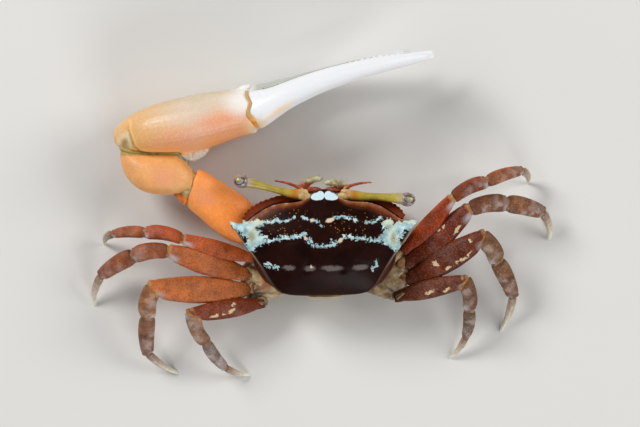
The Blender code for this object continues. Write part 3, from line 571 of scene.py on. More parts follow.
pale_mask = add("MapRange", pale_flecked, 0.22, 0.3, interpolation_type="SMOOTHSTEP")
upper_near = add("Attribute", attribute_name="upper")
pale_mask = add("Math", pale_mask, upper_near, operation="MULTIPLY")
band_near = add("Attribute", attribute_name="band")
band_wear = add("TexNoise", place, Scale=2000.0, Detail=3.0, Roughness=0.75)
band_drop = add("MapRange", band_wear, 0.3, 0.7, 0.5, -1.0)
band_worn = add("Math", band_near, band_drop, operation="ADD")
band_mask = add("MapRange", band_worn, 0.4, 0.5, interpolation_type="SMOOTHSTEP")
band_there = add("MapRange", band_near, 0.1, 0.25)
band_mask = add("Math", band_mask, band_there, operation="MULTIPLY")
cream_mask = add("MapRange", cream, 0.2, 0.5, interpolation_type="SMOOTHSTEP")
painted_reflection_mask = add("MapRange", grey, 0.12, 0.6, 0.0, 0.46, interpolation_type="SMOOTHSTEP")
core_mask = add("MapRange", cores, 0.0, 0.6, 0.0, 0.75)
core_mask = add("Math", core_mask, pale_mask, operation="MULTIPLY")
stain_mask = add("MapRange", stains, 0.0, 0.6, 0.0, 0.55)
stain_mask = add("Math", stain_mask, pale_mask, operation="MULTIPLY")
ground_cloud = add("TexNoise", place, Scale=260.0, Detail=5.0, Roughness=0.6)
ground = add("ValToRGB", ground_cloud, stops=((0.35, "#160705"), (0.72, "#2A110B")))
pale_cloud = add("TexNoise", place, Scale=900.0, Detail=4.0)
pale_tone = add("ValToRGB", pale_cloud, stops=((0.34, "#7CA3A8"), (0.66, "#CDE8EA")))
rim_stored = add("Attribute", attribute_name="rim")
rim_wear = add("MapRange", ragged, 0.3, 0.7, 0.72, 1.15)
rim_near = add("Math", rim_stored, rim_wear, operation="MULTIPLY")
rim_tone = add(
    "ValToRGB", rim_near, stops=((0.0, "#3A1A10"), (0.5, "#5E2A15"), (0.8, "#965A38"), (1.0, "#E2C6B6"))
)
rim_mask = add("MapRange", rim_near, 0.02, 0.5)
wall_near, ridge_near, brow_near, bead_near, hem_near = (
    add("Attribute", attribute_name=name) for name in ("wall", "ridge", "brow", "bead", "hem")
)
brow_cloud = add("TexNoise", place, Scale=1100.0, Detail=4.0)
brow_tone = add("ValToRGB", brow_cloud, stops=((0.38, "#1E0E0A"), (0.7, "#6E3218")))
specks = add("TexVoronoi", place, Scale=2700.0)
speck_mask = add("MapRange", specks, 0.34, 0.16)
speck_drop = add("SeparateColor", specks.outputs["Color"])
speck_keep = add("MapRange", speck_drop, 0.6, 0.66)
speck_where = add("MapRange", fleck_area, 0.1, 0.5)
speck = add("Math", speck_mask, speck_keep, operation="MULTIPLY")
speck = add("Math", speck, speck_where, operation="MULTIPLY")
finish(
    ground,
    (wall_near, "#42190F"),
    (brow_near, brow_tone),
    (bead_near, "#8A3A1E"),
    (rim_mask, rim_tone),
    (ridge_near, "#C8B4A4"),
    (hem_near, "#D6C8AA"),
    # Painted reflections.
    (painted_reflection_mask, "#8E8680"),
    (pale_mask, pale_tone),
    (core_mask, "#D2D8BC"),
    (stain_mask, "#7C7658"),
    (band_mask, pale_tone),
    (cream_mask, "#DCC4AC"),
    (lobe_mask, "#CFE6EE"),
    (speck, "#B07428"),
    height=add("TexNoise", place, Scale=1500.0, Detail=3.0),
    strength=0.12,
    deep=0.1,
)

# Stored on each point: how near it is to the thin margin over the eyes, how far it lies in front of that
# margin, in the beads of the lower rim, how near the pale ridge along the rear sides, and how far down the
# side wall. The runs are of the right half, from the middle of the shell's front, in the body's own frame,
# which is turned by a degree.
BODY_MIDDLE = (0.32, -1.19)
BODY_TURN = math.radians(1.0)
FRONT_MARGIN = (
    (0.0, 5.65), (1.2, 5.5), (1.75, 4.9), (2.5, 4.15), (3.8, 3.55), (5.4, 3.35), (7.2, 3.35),
    (8.7, 2.9), (10.2, 2.15), (11.5, 1.2), (12.6, 0.3), (13.7, 0.05), (15.0, 0.15),
)
REAR_RIDGE = (
    (15.0, 0.15), (14.2, -1.5), (13.0, -3.4), (11.8, -4.95),
    (10.6, -6.7), (9.4, -8.6), (8.4, -10.3), (7.2, -11.5),
)
points, normals = points_of(shell)
x, y, z = points.T
facing_up = normals[:, 2]
turn = np.array(((math.cos(BODY_TURN), -math.sin(BODY_TURN)), (math.sin(BODY_TURN), math.cos(BODY_TURN))))
side_u, v = ((points[:, :2] - BODY_MIDDLE) @ turn).T
side_u = np.abs(side_u)
reach = np.interp(side_u, [0.0, 2.0, 5.0, 9.0, 12.5, 15.0], [0.4, 0.7, 1.5, 2.1, 1.3, 0.45])
store(shell, "rim", held(1.0 - nearest_to(FRONT_MARGIN, side_u, v) / reach) * (z > 9.5))
margin_v = np.interp(side_u, *zip(*FRONT_MARGIN))
store(shell, "brow", held((v - margin_v) / 0.3) * (side_u > 2.6) * 0.9)
store(shell, "bead", held((9.35 - z) / 0.3) * (v > margin_v + 0.2) * (z > 8.3) * 0.8)
ridge = held(1.0 - nearest_to(REAR_RIDGE, side_u, v) / 0.3) * (z > 8.5)
ridge *= held((facing_up - 0.2) * 4.0) * np.interp(v, (-8.0, -5.0), (0.14, 0.55))
store(shell, "ridge", ridge)
hem = np.clip((7.2 - z) / 0.25, 0.0, 0.8)
store(shell, "hem", hem * (v < -4.0) * (v > -11.6) * (side_u > 5.0))
store(shell, "top", held(facing_up * 3.0))
store(shell, "upper", held(facing_up * 3.0 + 1.3) * held((z - 7.6) / 1.2))
wall = np.clip((0.75 - facing_up) * 1.6, 0.0, 0.8) * held((z - 6.0) / 2.0)
store(shell, "wall", wall)
band = np.zeros(len(points))
for run, half in PALE_BANDS:
    band = np.maximum(band, 1.0 - nearest_to(run, x, y) / (2 * half))
store(shell, "band", band * (z > 8.5))
dress(shell, dark_shell, "shell", "carapace")


# Eyes
# Long slim stalks of smooth olive-yellow skin that swell into the eyes: glossy grey beads, see-through at the
# surface, with a yellow spot and a dark swirl inside. Each stalk is drawn out into a cup that holds its bead.
stalk_skin, add, finish = new_material(
    "smooth_stalk_skin", Roughness=0.32, IOR=1.48, Subsurface_Weight=0.15, Subsurface_Scale=0.0008
)
place = add("TexCoord")
cloud = add("TexNoise", place, Scale=600.0, Detail=5.0, Roughness=0.6)
tone = add("ValToRGB", cloud, stops=((0.3, "#8E7C26"), (0.7, "#C4B04A")))
along = add("Attribute", attribute_name="run")
root_tone = add("ValToRGB", along, stops=((0.0, "#CFC08A"), (0.22, "#B8741E"), (0.42, "#BCA43C")))
root_mask = add("MapRange", along, 0.42, 0.24)
tip_mask = add("MapRange", along, 0.9, 1.0, 0.0, 0.75)
fine = add("TexNoise", place, Scale=2200.0, Detail=3.0)
finish(tone, (root_mask, root_tone), (tip_mask, "#B9A79A"), height=fine, strength=0.3, deep=0.1)


def long_axis(piece, from_place):
    """The middle of a piece and the way that it runs, away from a place, both in mm."""
    points, _ = points_of(piece)
    middle = points.mean(0)
    _, _, axes = np.linalg.svd(points - middle, full_matrices=False)
    away = axes[0] if np.dot(axes[0], middle - np.array(from_place)) > 0 else -axes[0]
    return middle, away


def frontward(away):
    """The level way that is square to another, towards the crab's front."""
    forward = np.cross((0.0, 0.0, 1.0), away)
    return forward * math.copysign(1.0, forward[1])


def mark_run(piece, from_place):
    """Stores how far along a piece each point is, from 0 at the end nearer a place to 1 at the other, how
    far across it is, from -1 on its rear edge to 1 on its front edge, and both in mm."""
    middle, away = long_axis(piece, from_place)
    points, _ = points_of(piece)
    offset = points - middle
    along = offset @ away
    forward = frontward(away)
    across = offset @ (forward / np.linalg.norm(forward))
    run = (along - along.min()) / np.ptp(along)
    store(piece, "run", run)
    store(piece, "side", across / np.abs(across).max())
    store(piece, "lengths", np.stack([along, across, points[:, 2]], axis=1))
    return run, away


# (spot, swirl) of each eye: x and y from the bead's middle, half length, half breadth and turn in degrees.
EYE_MARKS = {
    "left": (((-0.42, 0.28, 0.62, 0.34, 12),), ((-0.2, 0.02, 1.15, 0.72, 20),)),
    "right": (((0.3, 0.08, 0.6, 0.36, -15),), ((0.12, 0.0, 1.15, 0.76, -20),)),
}
HEAD_MIDDLE = (0.0, 3.0, 10.0)
for side in ("left", "right"):
    low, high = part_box(side + "_eye")
    bead_middle = np.array((low + high) / 2) / MM
    stalk = copied(side + "_eyestalk", side + "_stalk")
    rounded(stalk, 2)
    run, away = mark_run(stalk, HEAD_MIDDLE)
    points, _ = points_of(stalk)
    cup = held((run - 0.86) / 0.14) ** 2
    root = held((0.12 - run) / 0.12) ** 2
    from_axis = points - bead_middle - np.outer((points - bead_middle) @ away, away)
    put_points(stalk, points + np.outer(cup * 0.75 - root * 0.25, away) + from_axis * (cup * 0.24)[:, None])
    dress(stalk, stalk_skin, "eyestalk", side + "_eyestalk")
    bead = copied(side + "_eye", side + "_eye_bead")
    rounded(bead, 2)
    mark_run(bead, HEAD_MIDDLE)
    # Clear cornea over grey-lilac pigment: pinkish round its edge, where light comes through from the side.
    eye_bead, add, finish = new_material(
        side + "_eye_cornea",
        Roughness=0.2,
        IOR=1.42,
        Coat_Weight=0.25,
        Subsurface_Weight=0.25,
        Subsurface_Scale=0.0006,
    )
    place = add("TexCoord")
    cloud = add("TexNoise", place, Scale=900.0, Detail=4.0, Distortion=0.6)
    tone = add("ValToRGB", cloud, stops=((0.34, "#6E625E"), (0.66, "#AFA3A2")))
    facing = add("LayerWeight", 0.35).outputs["Facing"]
    edge_mask = add("MapRange", facing, 0.35, 0.8, 0.0, 0.7)
    flat_bead = add("VectorMath", place, (1.0, 1.0, 0.0), operation="MULTIPLY")
    spots, swirls = (
        blotches(add, flat_bead, [(bead_middle[0] + x, bead_middle[1] + y, *rest) for x, y, *rest in marks])
        for marks in EYE_MARKS[side]
    )
    ring_up = add("MapRange", swirls, 0.16, 0.24)
    ring_down = add("MapRange", swirls, 0.44, 0.34)
    ring = add("Math", ring_up, ring_down, operation="MULTIPLY")
    ring_break = add("MapRange", cloud, 0.62, 0.5)
    ring = add("Math", ring, ring_break, operation="MULTIPLY")
    spot_mask = add("MapRange", spots, 0.2, 0.45)
    facets = add("TexVoronoi", place, Scale=9000.0)
    layers = (edge_mask, "#C79C8C"), (ring, "#2E2820"), (spot_mask, "#B4AE3A")
    finish(tone, *layers, height=facets, strength=0.05, deep=0.05)
    dress(bead, eye_bead, "eye", side + "_eye")


# Eye sockets
# Soft folded skin that fills the socket between the inner end of each eyestalk and the shell's front lobes:
# cream olive, with orange creases. Each is a cushion of its own.


def socket_fold(name, middle, sizes, turn):
    """A cushion of skin about a middle, of these half sizes, turned by degrees and creased across."""
    deselect()
    bpy.ops.mesh.primitive_uv_sphere_add(segments=48, ring_count=24, radius=1.0)
    cushion = bpy.context.object
    cushion.name = name
    raw = points_of(cushion)[0] * MM
    creases = 1.0 + 0.1 * np.cos(raw[:, 0] * 9.0 + raw[:, 1] * 2.0) * (1 - np.abs(raw[:, 0]))
    shaped = raw * np.array(sizes) * np.stack([np.ones(len(raw)), creases, creases], axis=1)
    a = math.radians(turn)
    x = shaped[:, 0] * math.cos(a) - shaped[:, 1] * math.sin(a)
    y = shaped[:, 0] * math.sin(a) + shaped[:, 1] * math.cos(a)
    put_points(cushion, np.stack([x, y, shaped[:, 2]], axis=1) + np.array(middle))
    roughened(cushion, "CLOUDS", 0.5, 0.12)
    bpy.ops.object.shade_smooth()
    dress(cushion, socket_skin, "eyestalk")


def soft_skin(name, deep, light, top=None):
    """The bare skin of a joint: creased, slightly wet, between two colours, maybe with one for its top."""
    skin, add, finish = new_material(
        name, Roughness=0.4, IOR=1.45, Subsurface_Weight=0.15, Subsurface_Scale=0.0006
    )
    cloud = add("TexNoise", add("TexCoord"), Scale=1100.0, Detail=4.0)
    tone = add("ValToRGB", cloud, stops=((0.34, deep), (0.66, light)))
    layers = ((add("Attribute", attribute_name="upper"), top),) if top else ()
    finish(tone, *layers, height=cloud, strength=0.5, deep=0.15)
    return skin


socket_skin = soft_skin("socket_skin", "#A8662A", "#C6B478")
socket_fold("left_eye_socket", (-2.95, 3.1, 10.85), (1.2, 0.75, 0.6), -8)
socket_fold("right_eye_socket", (3.65, 3.15, 10.75), (1.2, 0.75, 0.6), 8)


# Feelers and jaw-feet
# The two short antennae beside the eyestalks, and the outer jaw-feet that close the mouth: orange-red
# shell, with cream last joints that are fringed with bristles, and small feelers between them.
feeler_shell, add, finish = new_material("orange_red_shell", Roughness=0.42, IOR=1.52)
place = add("TexCoord")
cloud = add("TexNoise", place, Scale=650.0, Detail=6.0, Roughness=0.62)
tone = add("ValToRGB", cloud, stops=((0.32, "#7A2812"), (0.7, "#C8623A")))
cream_cloud = add("ValToRGB", cloud, stops=((0.34, "#8C8452"), (0.62, "#D6CDA2")))
cream_near = add("Attribute", attribute_name="cream")
pits = add("TexNoise", place, Scale=2000.0, Detail=3.0)
finish(tone, (cream_near, cream_cloud), height=pits, strength=0.4, deep=0.1)

# Bristles are horny hairs: pale straw, slightly glossy.
bristle_horn, add, finish = new_material("straw_bristle_horn", Roughness=0.4, IOR=1.54)
cloud = add("TexNoise", add("TexCoord"), Scale=900.0)
finish(add("ValToRGB", cloud, stops=((0.35, "#8A7448"), (0.65, "#DCD2B0"))))


LEAST_HEIGHT = 0.02


def bristles(name, roots, ways, lengths, thickness, slot):
    """A row of bristles as one piece: bent three-sided needles from their roots, along their ways, in mm."""
    work = bmesh.new()
    for root, way, length in zip(roots, ways, lengths):
        root, way = Vector(root), Vector(way).normalized()
        across = way.cross(Vector((0.3, 0.2, 1.0))).normalized()
        up = across.cross(way)
        rings = []
        for share, thin in ((0.0, 0.5), (0.55, 0.225)):
            middle = root + way * length * share - up * length * 0.12 * share**2
            rings.append([
                work.verts.new((middle + (across * math.cos(a) + up * math.sin(a)) * thickness * thin) * MM)
                for a in (0.0, math.tau / 3, -math.tau / 3)
            ])
        # A bristle near the ground bends along it.
        end = root + way * length - up * length * 0.2
        tip = work.verts.new(Vector((end.x, end.y, max(end.z, LEAST_HEIGHT))) * MM)
        for i in range(3):
            j = (i + 1) % 3
            work.faces.new((rings[0][i], rings[0][j], rings[1][j], rings[1][i]))
            work.faces.new((rings[1][i], rings[1][j], tip))
        work.faces.new(rings[0][::-1])
    bmesh.ops.recalc_face_normals(work, faces=work.faces)
    tuft = new_piece(name)
    work.to_mesh(tuft.data)
    work.free()
    dress(tuft, bristle_horn, slot)


draw = np.random.default_rng(3)
# How many bristles each jaw-foot has, and where its palp is jointed, from the middle of the mouth.
PALP_BRISTLES = 70
PALP_JOINTS = (1.5, 2.9)
for side, sign in (("left", -1), ("right", 1)):
    feeler = copied(side + "_antenna", side + "_feeler")
    rounded(feeler, 2)
    run, _ = mark_run(feeler, (0.0, 3.0, 9.0))
    points, normals = points_of(feeler)
    put_points(feeler, points + normals * (np.cos(run * 130.0) * 0.025 * (run > 0.3))[:, None])
    store(feeler, "cream", held((0.1 - run) / 0.1))
    dress(feeler, feeler_shell, "feeler", side + "_antenna")
    jaw = copied(side + "_maxilliped", side + "_jaw_foot")
    rounded(jaw, 1)
    recast(jaw, 0.09, 3)
    points, normals = points_of(jaw)
    start_y = 5.25 if sign < 0 else 4.7
    store(jaw, "cream", held((points[:, 1] - start_y) / 0.35) * (points[:, 2] > 6.9))
    # Joints of the palp, as grooves square to its run.
    push = np.zeros(len(points))
    for out in PALP_JOINTS:
        push += hollow(sign * (points[:, 0] - 0.3) - out, 0.12, 0.14) * (points[:, 2] > 7.0)
    put_points(jaw, points + normals * push[:, None])
    roughened(jaw, "CLOUDS", 0.35, 0.07)
    dress(jaw, feeler_shell, "mouth", side + "_maxilliped")
    rim = points[(points[:, 2] > 7.3) & (points[:, 1] > start_y - 0.6)]
    picked = rim[draw.choice(len(rim), PALP_BRISTLES, replace=False)]
    ways = picked - rim.mean(0) + np.array((-sign * 0.6, 1.2, 0.2))
    ways = ways + draw.normal(0.0, 0.35, (PALP_BRISTLES, 3))
    bristles(side + "_palp_bristles", picked, ways, draw.uniform(0.5, 1.1, PALP_BRISTLES), 0.07, "mouth")


# Walking legs
# Eight legs of four flattened shell tubes each, finely grained. The left ones are salmon brown, the right
# ones darker red brown with cream dashes along their rear edges; the lower joints are mottled and carry
# painted highlights, and all toes are pale horn.

# Of each leg: the tints of its three upper joints; of the first joint and of the next two, how mottled they
# are, which also sets their painted highlights, how pale their grains and how bright their orange front edge,
# itself a painted highlight; and how much broader than its solid the first joint is shown, at its front and
# at its rear edge.
LEGS = {
    "left_leg_1": (("#BE5A28", "#AC4E26", "#A4582E"), (0.1, 0.0, 0.4), (0.3, 0.2, 0.2), (0.1, 0.5)),
    "left_leg_2": (("#BC6632", "#96502C", "#94522F"), (0.1, 0.0, 0.2), (0.6, 0.2, 0.1), (0.4, 0.5)),
    "left_leg_3": (("#BE6A36", "#A4704A", "#8C6048"), (0.05, 0.0, 0.1), (0.9, 0.2, 0.0), (0.4, 0.35)),
    "left_leg_4": (("#6E2E10", "#8C664C", "#94847E"), (0.2, 0.6, 0.0), (1.0, 0.4, 0.0), (0.35, 0.0)),
    "right_leg_1": (("#822E08", "#78381A", "#8C5230"), (0.1, 0.6, 1.0), (0.7, 0.5, 0.3), (0.0, 0.7)),
    "right_leg_2": (("#62260E", "#70452C", "#825534"), (0.15, 0.8, 0.3), (1.0, 0.5, 0.0), (0.35, 0.6)),
    "right_leg_3": (("#58240C", "#7A5638", "#785235"), (0.15, 0.8, 0.2), (1.0, 0.5, 0.0), (0.5, 0.5)),
    "right_leg_4": (("#5A280E", "#68462F", "#6C5742"), (0.15, 0.8, 0.1), (1.0, 0.5, 0.0), (0.6, 0.0)),
}
# (x, y, half length, half breadth, turn in degrees) of the cream dashes.
DASHES = (
    (22.1, -2.4, 1.32, 0.3, 59),
    (19.0, -2.5, 0.4, 0.28, -27),
    (19.8, -1.9, 0.4, 0.28, -63),
    (18.5, -7.9, 0.85, 0.34, -25),
    (20.7, -8.6, 1.0, 0.3, 22),
    (23.1, -7.2, 1.04, 0.3, 29),
    (24.1, -6.3, 0.84, 0.28, 54),
    (24.1, -4.1, 0.6, 0.28, -65),
    (22.2, -7.7, 0.58, 0.28, 38),
    (18.6, -7.6, 0.4, 0.28, -63),
    (17.7, -12.6, 1.02, 0.34, 21),
    (20.3, -12.3, 1.03, 0.32, 29),
    (-17.5, -16.5, 1.2, 0.38, 20),
    (-14.7, -15.6, 0.93, 0.36, 39),
    (-14.5, -14.7, 0.64, 0.3, 25),
    (-15.9, -16.3, 0.38, 0.28, 20),
)
# How much narrower the root of an upper joint is shown than its solid, as a share.
ROOT_DRAWN = 0.42
# Finely grained shell: the tint of the joint, cloudy, with pale grains, and with dark bands, pale patches
# that are painted highlights, cream dashes and an orange front edge, also a painted highlight, where the
# joint has them.
leg_shell, add, finish = new_material(
    "grained_leg_shell",
    Roughness=0.42,
    IOR=1.5,
    Specular_IOR_Level=0.22,
    Coat_Weight=0.04,
    Coat_Roughness=0.3,
)
place = add("TexCoord")
tint = add("Attribute", attribute_name="tint").outputs["Color"]
amounts = add("Attribute", attribute_name="amounts")
mottling_and_highlights, paleness, orange = add("SeparateXYZ", amounts.outputs["Vector"]).outputs
run_along = add("Attribute", attribute_name="run")
to_front = add("Attribute", attribute_name="side")
in_mm = add("Attribute", attribute_name="lengths").outputs["Vector"]
cloud = add("TexNoise", place, Scale=420.0, Detail=7.0, Roughness=0.68)
shade = add("MapRange", cloud, 0.3, 0.7, 0.55, 1.3)
toned = add("VectorMath", tint, shade, operation="SCALE")
grain_cells = add("TexVoronoi", place, Scale=3300.0)
grain_mask = add("MapRange", grain_cells, 0.5, 0.15, 0.0, 0.7)
grain_gain = add("MapRange", paleness, 0.0, 1.0, 0.3, 4.2)
grain_tone = add("VectorMath", toned, grain_gain, operation="SCALE")
# Dark clouds over the mottled joints, and soft bluish spots that are painted highlights.
banded = add("VectorMath", in_mm, (0.5, 0.22, 0.25), operation="MULTIPLY")
bands = add("TexNoise", banded, Scale=1.0, Detail=3.0, Roughness=0.6)
band_mask = add("MapRange", bands, 0.55, 0.38, 0.0, 0.6)
band_mask = add("Math", band_mask, mottling_and_highlights, operation="MULTIPLY")
warp = add("VectorMath", cloud.outputs["Color"], 4.6, operation="SCALE")
spotted = add("VectorMath", in_mm, warp, operation="ADD")
spotted = add("VectorMath", spotted, (0.52, 0.4, 0.0), operation="MULTIPLY")
spots = add("TexVoronoi", spotted, Scale=1.0, voronoi_dimensions="2D")
painted_highlight_mask = add("MapRange", spots, 0.55, 0.0, 0.0, 0.46, interpolation_type="SMOOTHSTEP")
highlight_draw = add("SeparateColor", spots.outputs["Color"])
highlight_keep = add("MapRange", highlight_draw, 0.25, 0.85)
painted_highlight_mask = add("Math", painted_highlight_mask, highlight_keep, operation="MULTIPLY")
painted_highlight_mask = add("Math", painted_highlight_mask, mottling_and_highlights, operation="MULTIPLY")
# Cream dashes along the rear edges, worn at their ends, and a bluish-white patch at the far rear corner.
worn = shaken(add, place, add("TexNoise", place, Scale=1500.0, Detail=3.0, Roughness=0.65), 0.0013)
flat_leg = add("VectorMath", worn, (1.0, 1.0, 0.0), operation="MULTIPLY")
dash = add("MapRange", blotches(add, flat_leg, DASHES), 0.2, 0.45, 0.0, 0.85)
corner_run = add("MapRange", run_along, 0.82, 0.92)
corner_side = add("MapRange", to_front, -0.05, -0.45)
corner = add("Math", corner_run, corner_side, operation="MULTIPLY")
corner = add("Math", corner, 0.7, operation="MULTIPLY")
# The orange front edge, which is a painted highlight, the darker start and the paler far rim of each joint.
edge_mask = add("MapRange", to_front, 0.45, 0.95, 0.0, 0.75)
edge_mask = add("Math", edge_mask, orange, operation="MULTIPLY")
start_mask = add("MapRange", run_along, 0.12, 0.0, 0.0, 0.45)
rim_mask = add("MapRange", run_along, 0.955, 0.985, 0.0, 0.6)
finish(
    toned,
    (grain_mask, grain_tone),
    (band_mask, "#55291A"),
    # Painted highlights.
    (painted_highlight_mask, "#C8BAB4"),
    (dash, "#E0C69E"),
    (corner, "#BCBCC0"),
    # Painted highlight along the front edge.
    (edge_mask, "#C85E22"),
    (start_mask, "#3A1A0E"),
    (rim_mask, "#C08A5A"),
    height=grain_cells,
    strength=0.7,
    deep=0.14,
    invert=True,
)

# Toes of pale horn: grey brown at their roots, streaked along their length, greenish white at their tips.
toe_horn, add, finish = new_material("pale_horn", Roughness=0.36, IOR=1.54)
in_mm = add("Attribute", attribute_name="lengths").outputs["Vector"]
streaked = add("VectorMath", in_mm, (0.35, 3.2, 3.2), operation="MULTIPLY")
streaks = add("TexNoise", streaked, Scale=1.0, Detail=4.0)
streak = add("MapRange", streaks, 0.3, 0.7, -0.22, 0.22)
level = add("Math", add("Attribute", attribute_name="run"), streak, operation="ADD")
tone = add(
    "ValToRGB", level, stops=((0.05, "#8E7460"), (0.35, "#B6A28E"), (0.65, "#D0C6B2"), (0.95, "#E6E6D2"))
)
finish(tone, height=streaks, strength=0.35, deep=0.1)


def hulled(name, points):
    """A piece that closes round these points in mm."""
    piece = new_piece(name)
    piece.data.from_pydata([tuple(point * MM) for point in points], [], [])
    edit_all(piece, convex_hull={})
    return piece


def joint_sleeve(node, other, material, slot, fill=0.88, near=0.75, sink=0.45, name=None):
    """The soft skin that bridges the ends of two solids: a closed sleeve over their facing rims, drawn in to
    this share of their size and sunk this deep into both."""
    solids = [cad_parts[solid].data.vertices for solid in (other, node)]
    corners = [np.array([vertex.co for vertex in vertices]) / MM for vertices in solids]
    apart = np.linalg.norm(corners[0][:, None, :] - corners[1][None, :, :], axis=2)
    ends = [own[apart.min(1 - i) < apart.min() + near] for i, own in enumerate(corners)]
    middles = [(end.min(0) + end.max(0)) / 2 for end in ends]
    _, _, axes = np.linalg.svd(np.vstack([ends[0] - middles[0], ends[1] - middles[1]]), full_matrices=False)
    through = axes[2] * math.copysign(1.0, np.dot(axes[2], middles[1] - middles[0]) or 1.0)
    rims = []
    for end, middle, way in zip(ends, middles, (-1.0, 1.0)):
        drawn_in = (end - middle) * fill
        rims += [middle + drawn_in, middle + drawn_in * 0.9 + through * way * sink]
    sleeve = hulled(name or node + "_skin", np.vstack(rims))
    recast(sleeve, 0.14, 4)
    dress(sleeve, material, slot)


leg_skin = soft_skin("orange_joint_skin", "#7A4420", "#B8843E")
lower_skin = soft_skin("dull_joint_skin", "#5E3620", "#9C7248")
root_skin = soft_skin("brown_joint_skin", "#6A4426", "#A8784A")
LEG_JOINTS = ("merus", "carpus", "propodus", "dactyl")
# How many bristles each of the two lowest joints has.
LEG_BRISTLES = 16
for leg, (tints, upper_marks, lower_marks, breadths) in LEGS.items():
    side = leg.split("_")[0]
    before = (0.0, -4.0, 6.0)
    for i, joint in enumerate(LEG_JOINTS):
        node = f"{leg}_{joint}"
        piece = copied(node, f"{node}_shell")
        rounded(piece, 3)
        run, away = mark_run(piece, before)
        middle, _ = long_axis(piece, before)
        points, normals = points_of(piece)
        if joint == "dactyl":
            # From above the toe is straighter than its solid, most of all on the two rear pairs of legs.
            sideways = np.cross((0.0, 0.0, 1.0), away)
            off = (points - middle) @ sideways
            bow = off[(run > 0.4) & (run < 0.6)].mean() - (off[run < 0.1].mean() + off[run > 0.95].mean()) / 2
            straightened = 0.7 if leg[-1] in "34" else 0.2
            points -= np.outer(bow * straightened * 4 * run * (1 - run), sideways)
            # Fine grooves along it, which fade towards its tip.
            turned = np.cross(points - middle, away)
            around = np.arctan2(turned[:, 2], turned @ np.cross(away, (0.0, 0.0, 1.0)))
            put_points(piece, points + normals * ((np.cos(around * 6) * 0.03 + 0.08) * (1 - run))[:, None])
            dress(piece, toe_horn, "toe", node)
        else:
            # A low rim at the far end and a slight waist behind it.
            rim = 0.05 * np.exp(-(((run - 0.97) / 0.02) ** 2))
            waist = 0.06 * np.exp(-(((run - 0.93) / 0.02) ** 2))
            points += normals * (rim - waist)[:, None]
            if joint == "merus":
                forward = frontward(away)
                across = (points - middle) @ forward
                front, rear = breadths
                grown = front * held(across / 0.7) - rear * held(-across / 0.7)
                near = held((0.95 - run) / 0.35)
                points += np.outer(grown * near, forward)
                # The root is rounded off, down to the ring of its own joint.
                across = (points - middle) @ forward
                centre = across[run < 0.08].mean()
                drawn = ROOT_DRAWN * held(1 - run / 0.13) ** 2 * (leg[-1] in "23")
                points -= np.outer((across - centre) * drawn, forward)
            put_points(piece, points)
            store(piece, "tint", [linear(tints[i])] * len(points))
            store(piece, "amounts", [lower_marks if i else upper_marks] * len(points))
            dress(piece, leg_shell, f"{side}_leg", node)
        if i:
            skin = leg_skin if i == 1 else lower_skin
            joint_sleeve(node, f"{leg}_{LEG_JOINTS[i - 1]}", skin, f"{side}_leg", fill=0.84)
        else:
            skin, fill = (base_skin, 0.6) if leg[-1] == "4" else (root_skin, 0.7)
            joint_sleeve(node, "thorax", skin, f"{side}_leg", fill=fill)
        if i >= 2:
            lower = points[(run > 0.1) & (run < 0.85)]
            picked = lower[draw.choice(len(lower), LEG_BRISTLES, replace=False)]
            ways = picked - middle - np.outer((picked - middle) @ away, away) + away * 0.8
            lengths = draw.uniform(0.25, 0.5, LEG_BRISTLES)
            bristles(f"{node}_bristles", picked, ways, lengths, 0.05, f"{side}_leg")
        before = middle


# Great claw
# The huge left claw: an orange arm of three joints, a swollen hand that pales from orange to white, and
# long porcelain-white fingers with blunt teeth. Soft skin closes its joints: olive at the wrist, orange at
# the hinge.
ARM_TINTS = {
    "ischium": ("#D8702C", "#D8702C"),
    "merus": ("#FA8422", "#F69C50"),
    "carpus": ("#E6AA66", "#ECA464"),
}
ROSE_MARKS = (
    (-25.6, 6.2, 3.4, 2.2, 10),
    (-19.0, 3.0, 2.6, 1.8, -30, 0.8),
)
# Hard crab shell with a fine grain: orange, clouded with rose, and yellower along its edges.
arm_shell, add, finish = new_material(
    "orange_arm_shell",
    Roughness=0.42,
    IOR=1.5,
    Specular_IOR_Level=0.35,
    Subsurface_Weight=0.08,
    Subsurface_Scale=0.001,
)
place = add("TexCoord")
tint = add("Attribute", attribute_name="tint").outputs["Color"]
cloud = add("TexNoise", place, Scale=330.0, Detail=7.0, Roughness=0.66)
shade = add("MapRange", cloud, 0.3, 0.7, 0.86, 1.1)
toned = add("VectorMath", tint, shade, operation="SCALE")
flat_arm = add("VectorMath", place, (1.0, 1.0, 0.0), operation="MULTIPLY")
rose_mask = add("MapRange", blotches(add, flat_arm, ROSE_MARKS), 0.0, 0.8, 0.0, 0.55)
edge_far = add("Math", add("Attribute", attribute_name="side"), operation="ABSOLUTE")
edge_mask = add("MapRange", edge_far, 0.62, 0.98, 0.0, 0.5)
cells = add("TexVoronoi", place, Scale=2600.0)
cell_mask = add("MapRange", cells, 0.5, 0.15, 0.0, 0.22)
layers = (rose_mask, "#EE9A7C"), (edge_mask, "#E89A44"), (cell_mask, "#F6C49A")
finish(toned, *layers, height=cells, strength=0.45, deep=0.12, invert=True)

# The hand's shell: orange along its lower edge, peach and cream above, tan at the heel, white at the hinge
# and pinkish white in its crest; the fingers are white with a peach flush at the root of the movable one.
# Painted shade greys the fixed finger under the movable one's edge and deepens the olive in the heel's fold.
HINGE_WHITE = ((-12.6, 20.4, 3.4, 2.6, 0), (-12.5, 18.4, 5.0, 3.6, 0))
SALMON_MARKS = ((-16.2, 14.6, 7.5, 3.6, 8), (-22.5, 12.6, 8.5, 2.8, 10, 0.8))
HEEL_PIT = ((-32.0, 11.6, 1.05, 1.35, 10),)
HEEL_PALE = ((-32.0, 12.9, 1.5, 1.0, 12), (-33.0, 12.1, 0.8, 1.2, 0, 0.8), (-31.3, 11.9, 0.6, 1.8, 12))
FINGER_FLUSH = ((-10.6, 14.6, 3.2, 1.7, 20), (-7.0, 16.9, 4.6, 0.9, 33, 0.8))
